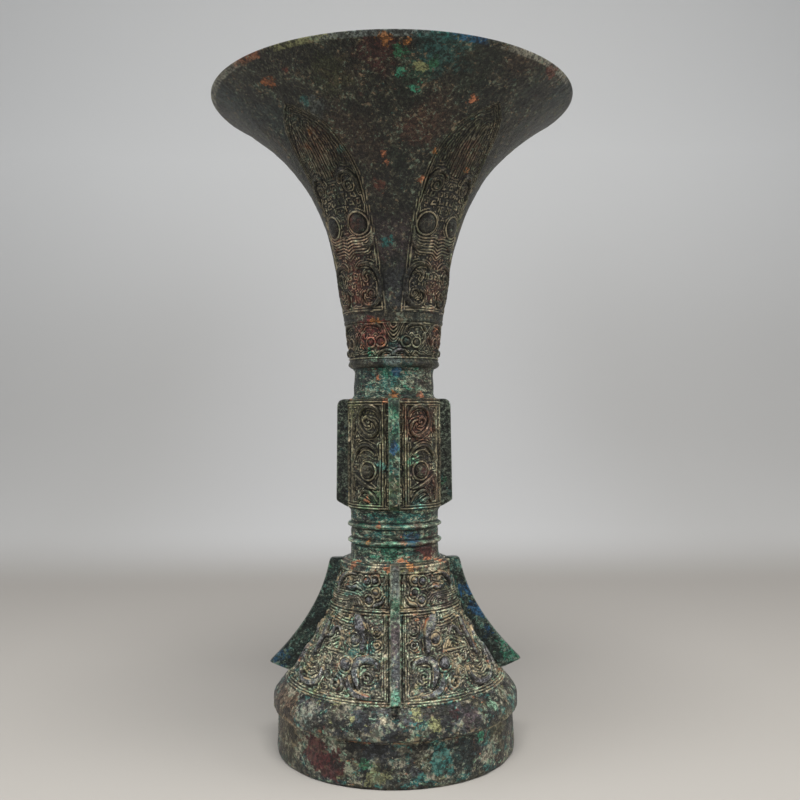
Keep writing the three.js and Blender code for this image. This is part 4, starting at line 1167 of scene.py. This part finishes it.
looks = {
    "trumpet": {
        **darkLook, "ridgeFade": (258, 284, 0.4), "local": 0.4, "lift": 4.8, "cluster": 0.6, "sparse": 0.03,
        "lightShare": 0.7, "fleck": shade(128, 146, 126), "fleckTwo": shade(146, 124, 98),
        "washes": [(-72, 314, 16, "deep", 0.6), (-22, 310.5, 12, "moss", 0.35),
                   (-3, 316, 12, "maroon", 0.55), (10, 316, 10, "deep", 0.7), (26, 312, 17, "pine", 0.5),
                   (42, 316, 11, "umber", 0.5), (14, 294, 12, "brick", 0.3), (69, 316, 11, "deep", 0.6),
                   (8, 309, 8, "viridian", 0.4), (-33, 301, 7, "ash", 0.4), (-7, 246, 14, "plum", 0.4),
                   (-45, 290, 13, "brick", 0.4), (-45, 244, 14, "brick", 0.6), (-45, 224, 12, "brick", 0.9),
                   (45, 283, 10, "maroon", 0.4), (50, 240, 10, "brick", 0.5), (50, 221, 9, "brick", 0.6),
                   (28, 236, 8, "moss", 0.3), (0, 226, 12, "slate", 0.5), (18, 300, 16, "umber", 0.5),
                   (-20, 288, 18, "umber", 0.5), (16, 317, 15, "teal", 0.4), (6, 305, 10, "pine", 0.6),
                   (-52, 300, 18, "deep", 0.6)],
        "spots": [(-44.9, 311.3, 3.2, "rust", 1.0), (-35.0, 312.9, 1.5, "brick", 0.9),
                  (-42.6, 293.4, 1.3, "amber", 0.9), (-49.3, 289.1, 1.6, "copper", 0.9),
                  (-29.5, 285.1, 2.0, "teal", 0.6), (-35, 303.3, 2.4, "teal", 0.6),
                  (-4.8, 282.1, 1.5, "copper", 1.0), (-3.4, 278.7, 1.4, "copper", 0.8),
                  (-8.7, 269.6, 3.0, "brick", 0.7), (-2, 317.2, 3.4, "amber", 0.8),
                  (2, 314.1, 3.0, "malachite", 0.9), (4, 316.4, 2.0, "amber", 0.8),
                  (13, 311.7, 3.0, "malachite", 0.9), (9.2, 310.4, 2.6, "lichen", 0.8),
                  (8.2, 304.4, 2.6, "viridian", 0.9), (2.6, 308.5, 2.0, "viridian", 0.9),
                  (32.5, 302.9, 2.2, "copper", 1.0), (55, 318, 4.0, "brick", 0.7),
                  (23.8, 283.8, 1.3, "amber", 1.0), (20.1, 272.5, 1.7, "copper", 0.9),
                  (41.3, 288.2, 2.0, "maroon", 0.9), (51.5, 279.5, 1.8, "rust", 0.9),
                  (-5.4, 245.2, 3.0, "teal", 0.8)],
        "rim": [(-68, 40, "pebble", 0.7), (-46, 12, "copper", 0.5), (-24, 22, "lichen", 0.6),
                (-5, 26, "ash", 0.9), (14, 14, "teal", 0.8), (22, 9, "azurite", 0.7),
                (52, 44, "pebble", 0.8)],
    },
    "neck": {
        **darkLook, "seed": 1.9, "hatch": 0.2, "skin": shade(62, 60, 48), "skinTwo": shade(50, 56, 48),
        "ridgeShare": 0.9, "local": 0.6,
        "washes": [(-36, 203, 8, "crimson", 0.9), (-14, 201, 6, "crimson", 0.8), (2, 196, 6, "teal", 0.6),
                   (0, 188, 8, "teal", 0.5), (38, 200, 11, "pine", 0.6), (62, 200, 7, "brick", 0.7),
                   (-62, 200, 8, "umber", 0.6)],
        "spots": [(-23, 208.4, 1.7, "amber", 1.0), (-17, 208.4, 1.4, "amber", 0.9),
                  (-30, 194.0, 2.2, "viridian", 1.0), (-24, 191.5, 2.0, "mint", 0.9),
                  (62, 205, 2.0, "copper", 0.9), (2, 191, 5.0, "ash", 0.7), (8, 195, 2.0, "lavender", 0.9),
                  (-12, 197.5, 1.2, "copper", 0.9), (-40, 197, 1.4, "copper", 0.8)],
    },
    "stem": {
        **greenLook, "flat": 2.4, "tone": 0.96, "lightShare": 0.6,
        "washes": [(-8, 182, 8, "teal", 0.5), (-64, 180, 12, "deep", 0.8), (62, 180, 12, "umber", 0.7),
                   (50, 97, 10, "maroon", 0.7)],
        "spots": [(4, 185, 3.2, "azurite", 0.7), (-14, 183, 3.0, "viridian", 0.6),
                  (-22, 181.6, 1.3, "copper", 1.0), (0, 172.9, 2.0, "amber", 1.0),
                  (40, 173.2, 2.0, "copper", 0.8), (22, 104, 4.0, "azurite", 0.6),
                  (-8, 98, 4.5, "viridian", 0.5), (8, 93.4, 2.2, "copper", 0.9),
                  (46, 93.4, 3.2, "copper", 0.9), (44, 99, 5.0, "maroon", 0.9),
                  (30, 110, 2.2, "maroon", 0.8), (-20, 110.5, 1.6, "copper", 0.9),
                  (10, 102.2, 1.4, "copper", 0.9), (-34, 102.4, 1.6, "amber", 0.8)],
    },
    "waist": {
        **darkLook, "seed": 2.3, "hatch": 0.2, "skin": shade(78, 74, 56), "skinTwo": shade(60, 66, 52),
        "ridgeShare": 1.0, "local": 0.66, "lift": 4.8, "formShare": 0.45, "formColour": shade(84, 80, 66),
        "washes": [(-30, 155, 15, "olive", 0.5), (38, 162, 13, "brick", 0.8), (-52, 166, 9, "moss", 0.7),
                   (-20, 140, 8, "pine", 0.6), (50, 130, 9, "maroon", 0.8),
                   (-30, 120, 9, "malachite", 0.5), (30, 120, 7, "teal", 0.5)],
        "spots": [(-16, 138.5, 2.6, "teal", 0.8), (22.0, 141.5, 3.0, "viridian", 0.7),
                  (24, 136, 2.0, "plum", 0.8), (-10.7, 170.5, 2.0, "copper", 0.9),
                  (68.0, 172, 2.0, "amber", 1.0), (-68.0, 172, 2.0, "amber", 1.0),
                  (-34, 122.5, 1.6, "copper", 1.0), (30, 120, 4.0, "teal", 0.6)],
    },
    "base": {
        **footLook, "seed": 8.9, "skin": shade(88, 84, 72), "skinTwo": shade(62, 66, 62), "stipple": 0.07,
        "rag": 0.42, "crystalScale": 480.0, "cluster": 1.2, "sparse": 0.02, "lightShare": 0.6,
        "blooms": [("slate", 46.0, 0.48, 0.8), ("umber", 60.0, 0.36, 0.6), ("maroon", 70.0, 0.24, 0.7),
                   ("olive", 90.0, 0.4, 0.7), ("teal", 130.0, 0.42, 0.8), ("night", 130.0, 0.44, 0.85),
                   ("lichen", 170.0, 0.3, 0.8), ("mint", 220.0, 0.32, 0.8), ("cream", 340.0, 0.26, 0.8),
                   ("copper", 300.0, 0.22, 0.9)],
        "washes": [(-62, 26, 18, "tan", 0.7), (-70, 32, 16, "umber", 0.6), (-58, 14, 14, "olive", 0.7),
                   (-7, 19, 11, "slate", 0.8), (30, 14, 13, "deep", 0.7), (56, 18, 11, "olive", 0.8)],
        "spots": [(-38, 13, 8.0, "maroon", 0.9), (-30, 9, 7.0, "maroon", 0.9), (-9, 7, 6.0, "lichen", 0.5),
                  (-13.4, 11, 2.8, "malachite", 0.9), (20, 11, 6.0, "teal", 0.8),
                  (41, 18.5, 2.8, "viridian", 0.9), (49.5, 30, 3.2, "mint", 0.9),
                  (27.2, 30.8, 2.6, "maroon", 1.0), (35, 28.5, 5.5, "plum", 0.7),
                  (9.5, 32, 3.2, "lichen", 0.9), (17, 28, 3.4, "lichen", 0.8),
                  (-5.3, 30, 1.6, "cream", 0.9), (-16, 30, 5.0, "slate", 0.8),
                  (-19, 30, 1.4, "lichen", 0.9), (-41, 29, 6.0, "pebble", 0.5)],
    },
    "foot": {
        **footLook, "tone": 0.94, "washes": [(50, 60, 18, "umber", 0.5), (30, 72, 16, "plum", 0.4)],
        "spots": [(-50, 92, 3.0, "copper", 0.8), (-20, 91.6, 2.6, "cream", 0.8),
                  (-6, 91, 2.0, "copper", 0.8), (16, 91.5, 2.6, "amber", 0.8), (62, 92, 3.4, "copper", 0.9),
                  (40, 91, 2.4, "cream", 0.8), (17.6, 68, 1.0, "copper", 1.0)],
    },
    "waist_flange_front": {
        **greenLook, "seed": 4.4, "lightShare": 0.4, "darkShare": 0.6, "skin": shade(54, 92, 70),
        "skinTwo": shade(84, 100, 62), "reachAt": lambda height: 28.6,
        "washes": [(-2, 164, 5, "viridian", 0.5), (0, 150, 9, "moss", 0.4), (0, 126, 8, "moss", 0.6)],
        "spots": [(1.5, 147.6, 3.2, "azurite", 0.8), (2, 168.5, 3.0, "night", 0.6),
                  (0, 172.6, 2.0, "amber", 0.9)],
    },
    "waist_flange_side": {
        **sideFlangeLook, "skin": shade(38, 42, 38), "skinTwo": shade(28, 32, 29),
        "fleck": shade(150, 160, 142), "hatch": 0.9, "grainShare": 0.7, "cluster": 0.2, "lightShare": 0.45,
    },
    "foot_flange_front": {
        **greenLook, "seed": 6.1, "lightShare": 0.4, "darkShare": 0.6, "skin": shade(84, 88, 82),
        "skinTwo": shade(90, 80, 76),
        "blooms": [("slate", 60.0, 0.45, 0.7), ("plum", 80.0, 0.4, 0.6), ("teal", 150.0, 0.36, 0.5),
                   ("night", 170.0, 0.36, 0.7), ("mint", 260.0, 0.3, 0.6), ("copper", 300.0, 0.2, 0.8)],
        "reachAt": footEdgeReach,
        "washes": [(0, 84, 8, "ash", 0.6), (0, 74, 5, "malachite", 0.5), (0, 62, 8, "plum", 0.7),
                   (0, 52, 6, "slate", 0.6), (0, 41, 6, "viridian", 0.6)],
        "spots": [(0.3, 45.6, 1.3, "copper", 1.0)],
    },
    "foot_flange_side": {
        **sideFlangeLook, "reachAt": footEdgeReach,
        "spots": [(84, 76, 4.0, "azurite", 0.8), (84, 66, 4.4, "azurite", 0.8),
                  (84, 56, 4.0, "azurite", 0.7), (84, 48, 4.4, "viridian", 0.7),
                  (86, 43, 5.0, "viridian", 0.6), (-86, 43, 5.0, "azurite", 0.5),
                  (-86, 56, 6, "pine", 0.6)],
    },
}
materials = {name: bronze(f"{name}_patina", look) for name, look in looks.items()}

print("casting the sections")


def bladeAngles(denseStep, plainStep, denseHalf):  # columns round the trumpet, closer inside the blades
    wide = math.radians(denseHalf)
    dense = np.arange(-wide, wide, math.radians(denseStep) / quality)
    gap = quarterTurn - 2 * wide
    plain = wide + np.linspace(0, gap, int(gap / math.radians(plainStep) * quality), endpoint=False)
    middles = np.arange(4) * quarterTurn + quarterTurn / 2
    return np.concatenate([middle + np.concatenate([dense, plain]) for middle in middles])


trumpetInner = insideOf([*trumpetWall, (mouthRadius - 0.2, rimHeight - 0.2)], wall)
sections = {
    "foot_ring": {"outer": ringWall, "inner": [(55.6, 0), (56.3, 19), (58.4, 25), (51.2, bellFoot - 2),
                                               (51.2, bellFoot)],
                  "spacing": 0.4, "columns": 420, "carve": ringRelief,
                  "skin": {"lump": 0.3, "dent": 0.2, "pit": 0.12}, "slot": "foot_bronze",
                  "material": "base", "rounding": 1},
    "foot_bell": {"outer": [*bellWall, (24.5, stemFoot - 0.9), (stem["radius"], stemFoot)],
                  "inner": [(51.2, bellFoot), *insideOf(bellWall, wall)[2:-3], (19.9, stemFoot)],
                  "spacing": 0.38, "columns": 800, "carve": bellRelief, "skin": smoothSkin,
                  "slot": "foot_bronze", "material": "foot"},
    "stem_collar": {"outer": stemWall, "inner": [(19.9, stemFoot), (19.9, waistFoot)], "spacing": 0.32,
                    "columns": 320, "carve": stemRelief, "skin": plainSkin, "slot": "stem_bronze",
                    "material": "stem", "rounding": 1},
    "waist_drum": {"outer": waistWall, "inner": [(19.9, waistFoot), (21.4, waistFoot + 2),
                                                 (21.4, collarFoot - 4), (17.8, collarFoot)],
                   "spacing": 0.32, "columns": 460, "carve": waistRelief, "leadIn": waistLead,
                   "skin": smoothSkin, "fade": 3.0, "slot": "waist_bronze", "material": "waist",
                   "rounding": 1},
    "neck_collar": {"outer": collarWall, "inner": [(17.8, collarFoot), (17.8, bandFoot)], "spacing": 0.5,
                    "columns": 300, "skin": plainSkin, "slot": "stem_bronze", "material": "stem"},
    "neck_band": {"outer": bandWall, "inner": [(17.8, bandFoot), (20.4, bandFoot + 6), (23.2, trumpetFoot)],
                  "spacing": 0.3, "columns": 460, "carve": bandRelief, "leadIn": bandLength[7],
                  "skin": smoothSkin, "fade": 1.0, "slot": "neck_bronze", "material": "neck",
                  "rounding": 1},
    "mouth_trumpet": {"outer": [*trumpetWall, (88.9, rimHeight - 1.5), (89.6, rimHeight - 0.6),
                                (89.85, rimHeight - 0.15)],
                      "inner": [*trumpetInner, (88.9, rimHeight - 0.1)], "spacing": 0.48,
                      "angles": bladeAngles(0.5, 1.0, 24), "denseLength": 108, "carve": trumpetRelief,
                      "skin": plainSkin, "slot": "trumpet_bronze", "material": "trumpet", "rounding": 1,
                      "ceiling": 2.0},
}
for name, section in sections.items():
    dress(turnedShell(f"{name}_cast", section), name, materials[section["material"]])


# Flanges: upright plates lofted from the wall out to a free edge
flangeSpacing = 0.6
flangeRounding = 2
plate = {"rows": 26, "closer": 1.15, "noseColumns": 5, "endShare": 0.6, "endRows": 3, "wearAndHighlightAt": 0.4,
         "wearAndHighlightWidth": 0.5}


def flange(name, outline, roots, half, corner, azimuth, skin):
    stations = len(outline)
    deep = np.linspace(0, 1, plate["rows"]) ** plate["closer"]
    edge, root = np.array(outline), np.array(roots)
    span = np.hypot(*(edge - root).T)[:, None]
    fromEdge = span * deep[None, :]
    bevel = np.clip(corner - fromEdge, 0, corner)
    thick = half - corner + np.sqrt(np.clip(corner**2 - bevel**2, 0, None))
    ends = np.minimum(np.arange(stations), np.arange(stations)[::-1])[:, None]
    thick = thick * (plate["endShare"] + (1 - plate["endShare"]) * smoothStep(0, plate["endRows"], ends))
    reach = edge[:, None, :] + (root - edge)[:, None, :] * deep[None, :, None]
    across = np.linspace(-1, 1, plate["noseColumns"] + 2)[1:-1]
    nose = np.repeat(edge[:, None, :], len(across), axis=1)
    flat = np.concatenate([reach, reach[:, ::-1], nose], axis=1)
    side = np.concatenate([thick, -thick[:, ::-1], across[None, :] * thick[:, :1]], axis=1)
    turn = math.radians(azimuth)
    x = side * math.cos(turn) + flat[..., 0] * math.sin(turn)
    y = side * math.sin(turn) - flat[..., 0] * math.cos(turn)
    place = np.stack([x, y, flat[..., 1]], axis=-1)
    outward = castSkin(place, skin) * np.sign(side) * np.minimum(np.abs(side) / half * 2, 1)
    place[..., 0] += outward * math.cos(turn)
    place[..., 1] += outward * math.sin(turn)
    rows, columns = side.shape
    quads = gridQuads(rows, columns).reshape(rows, columns, 4)[:-1].reshape(-1, 4)
    layers = {label: np.zeros(side.shape) for label in ("hollow", "thread", "form", "ledge")}
    depth = np.concatenate([fromEdge, fromEdge[:, ::-1], nose[..., 0] * 0], axis=1)
    # a band just inside the free edge takes the ridge colour: worn metal with painted highlight
    layers["crest"] = np.clip(1 - np.abs(depth - plate["wearAndHighlightAt"]) / plate["wearAndHighlightWidth"], 0, 1)
    return buildMesh(name, place.reshape(-1, 3), quads, layers)


waistPlate = {"half": 2.7, "corner": 0.9, "root": 22.6, "foot": 23.4, "lap": 0.15, "even": 0.75,
              "low": (29.0, 3.4), "high": ((28.4, 2.8), (27.6, 0.9), (25.6, 0.0))}
footPlate = {"half": 2.2, "corner": 0.8, "tip": 62.8, "tipRise": 8.3, "bend": 37.6, "bendRise": 24.1,
             "neck": 32.6, "neckDrop": 0.9, "curveSteps": 30, "seat": (52.6, 54.0), "seatRise": 3.6,
             "topDrop": 0.6, "head": (31.6, 25.2), "sunk": 0.7}


def waistFlange():  # free edge of a waist flange, and its roots on the drum
    start, root = waistFoot + waistPlate["lap"], waistPlate["root"]
    reach, climb = waistPlate["low"]
    high = [(radius, collarFoot - drop) for radius, drop in waistPlate["high"]]
    free = [(waistPlate["foot"], start), (reach, waistFoot + climb), *high, (root, collarFoot)]
    line, along = evenOutline(free, flangeSpacing, flangeRounding)
    share, even = along / along[-1], waistPlate["even"]
    rise = smoothStep(0.0, 1.0, share) * (1 - even) + even * share
    roots = np.column_stack([np.full(len(line), root), start + (collarFoot - start) * rise])
    roots[0], roots[-1] = line[0], line[-1]
    return line, roots


def footFlange(lift):  # free edge of a foot flange, and its roots on the bell
    own = footPlate
    tip, seat = bellFoot + own["tipRise"] + lift, bellFoot + own["seatRise"] + lift / 2
    top = stemFoot - own["topDrop"]
    t = np.linspace(0, 1, own["curveSteps"])[:, None]
    a = np.array((own["tip"], tip))
    b = np.array((own["bend"], tip + own["bendRise"]))
    c = np.array((own["neck"], top - own["neckDrop"]))
    edge = a * (1 - t) ** 2 + 2 * b * t * (1 - t) + c * t**2
    inner, outer = own["seat"]
    free = [(inner, seat), (outer, seat), *edge, *((radius, top) for radius in own["head"])]
    line, along = evenOutline(free, flangeSpacing, flangeRounding)
    under = math.hypot(own["tip"] - inner, tip - seat) / along[-1]
    climb = smoothStep(under / 2, 1.0, along / along[-1])
    wallAt = insideOf(bellWall, own["sunk"])
    heights = seat + (top - seat) * climb
    roots = np.column_stack([np.interp(heights, wallAt[:, 1], wallAt[:, 0]), heights])
    roots[0], roots[-1] = line[0], line[-1]
    return line, roots


flangeSkin = {"lump": 0.2, "dent": 0.14, "pit": 0.08}
tipLift = {"right": -1.1, "back": -1.8, "left": -1.8, "front": -5.0}  # unevenness of the four tips as cast
print("casting the flanges")
for side, azimuth in sideAzimuths.items():
    kind = "front" if side == "front" else "side"
    plates = (("waist", waistPlate, waistFlange()), ("foot", footPlate, footFlange(tipLift[side])))
    for place, own, (line, roots) in plates:
        node = f"{place}_flange_{side}"
        piece = flange(f"{node}_cast", line, roots, own["half"], own["corner"], azimuth, flangeSkin)
        dress(piece, node, materials[f"{place}_flange_{kind}"])

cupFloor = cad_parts["cup_floor"].data
cupFloor.materials.clear()
cupFloor.materials.append(materials["waist"])


# Studio: one pale sheet that is floor and backdrop, its colour graded with painted light, soft overhead and
# side light
studio = {"wallColour": shade(226, 227, 227), "wallFoot": shade(194, 194, 194),
          "wallSide": shade(178, 177, 175), "floorFar": shade(154, 150, 145),
          "floorNear": shade(176, 172, 166), "floorFront": -1.6, "bendStart": 0.5, "bendRadius": 1.1,
          "bendSteps": 24, "wallTop": 2.6, "half": 2.5, "roughness": 0.9, "cloudScale": 1.3,
          "air": shade(196, 198, 202), "airStrength": 0.45,
          "cloudDetail": 2.0, "cloudShare": 0.15, "floorRun": (-0.3, 0.4), "sideRun": (0.08, 0.45),
          "climbRun": (0.06, 0.9), "wallRun": (0.4, 0.7)}


def studioSheet():
    start, radius = studio["bendStart"], studio["bendRadius"]
    angles = np.linspace(0, quarterTurn, studio["bendSteps"])
    bend = [(start + radius * math.sin(angle), radius * (1 - math.cos(angle))) for angle in angles]
    line = [(studio["floorFront"], 0.0), *bend, (start + radius, studio["wallTop"])]
    vertices = [(x, y, z) for y, z in line for x in (-studio["half"], studio["half"])]
    faces = [(2 * i, 2 * i + 1, 2 * i + 3, 2 * i + 2) for i in range(len(line) - 1)]
    mesh = bpy.data.meshes.new("studio_sheet")
    mesh.from_pydata(vertices, [], faces)
    mesh.shade_smooth()
    sheet = bpy.data.objects.new("studio_sheet", mesh)
    bpy.context.scene.collection.objects.link(sheet)
    material = bpy.data.materials.new("studio_paper")
    material.use_nodes = True
    tree = material.node_tree
    shader = tree.nodes["Principled BSDF"]
    place = tree.nodes.new("ShaderNodeTexCoord").outputs["Object"]
    apart = tree.nodes.new("ShaderNodeSeparateXYZ")
    put(tree, place, apart.inputs[0])
    aside = mathNode(tree, "ABSOLUTE", apart.outputs[0])
    cloud = noiseNode(tree, place, studio["cloudScale"], studio["cloudDetail"]).outputs[0]
    cloud = mathNode(tree, "MULTIPLY", cloud, studio["cloudShare"])
    # painted light on the paper: the floor lighter near the front than far back, the wall darker at its foot
    # and sides and lighter higher up
    back = apart.outputs[1]
    receding = mapRange(tree, back, *studio["floorRun"])
    floor = mixColour(tree, receding, studio["floorNear"], studio["floorFar"])
    sideways = mapRange(tree, aside, *studio["sideRun"])
    foot = mixColour(tree, sideways, studio["wallFoot"], studio["wallSide"])
    climb = mathNode(tree, "ADD", mapRange(tree, apart.outputs[2], *studio["climbRun"]), cloud)
    climbed = mapRange(tree, back, *studio["wallRun"])
    paper = mixColour(tree, climbed, floor, mixColour(tree, climb, foot, studio["wallColour"]))
    tree.links.new(paper, shader.inputs["Base Color"])
    shader.inputs["Roughness"].default_value = studio["roughness"]
    mesh.materials.append(material)


lamps = {
    "overhead": {"size": (0.8, 0.7), "power": 21.5, "place": (0.03, -0.5, 1.35), "aim": (0, 0, 0.12),
                 "colour": (1.0, 0.99, 0.97)},
    "left_window": {"size": (0.9, 1.2), "power": 6.5, "place": (-1.3, -0.3, 0.7), "aim": (0, 0, 0.15),
                    "colour": (0.96, 0.98, 1.0)},
    "right_window": {"size": (0.9, 1.2), "power": 8.0, "place": (1.3, -0.3, 0.7), "aim": (0, 0, 0.15),
                     "colour": (1.0, 0.98, 0.95)},
}


def softLamp(name, lamp):
    data = bpy.data.lights.new(name, "AREA")
    data.shape = "RECTANGLE"
    data.size, data.size_y = lamp["size"]
    data.energy = lamp["power"]
    data.color = lamp["colour"]
    stand = bpy.data.objects.new(name, data)
    stand.location = lamp["place"]
    away = np.array(lamp["place"]) - np.array(lamp["aim"])
    stand.rotation_euler = (math.atan2(math.hypot(away[0], away[1]), away[2]), 0,
                            math.atan2(away[0], -away[1]))
    bpy.context.scene.collection.objects.link(stand)


print("setting up the studio")
studioSheet()
for name, lamp in lamps.items():
    softLamp(name, lamp)
world = bpy.data.worlds.new("studio_air")
world.use_nodes = True
air = world.node_tree.nodes["Background"]
air.inputs["Color"].default_value = studio["air"]
air.inputs["Strength"].default_value = studio["airStrength"]
bpy.context.scene.world = world

# Camera: a little under the middle of the vessel, close enough for the mouth to be seen from below
view = {"focal": 39.95, "distance": 0.447, "height": 0.1629, "pitch": 91.03, "yaw": -0.39, "roll": 0.35,
        "sensor": 36.0, "clip": 0.01}
cameraData = bpy.data.cameras.new("camera")
cameraData.lens = view["focal"]
cameraData.sensor_width = view["sensor"]
cameraData.clip_start = view["clip"]
camera = bpy.data.objects.new("camera", cameraData)
camera.location = (0, -view["distance"], view["height"])
camera.rotation_euler = (math.radians(view["pitch"]), math.radians(view["roll"]), math.radians(view["yaw"]))
bpy.context.scene.collection.objects.link(camera)
bpy.context.scene.camera = camera
bpy.context.scene.view_settings.view_transform = "Standard"
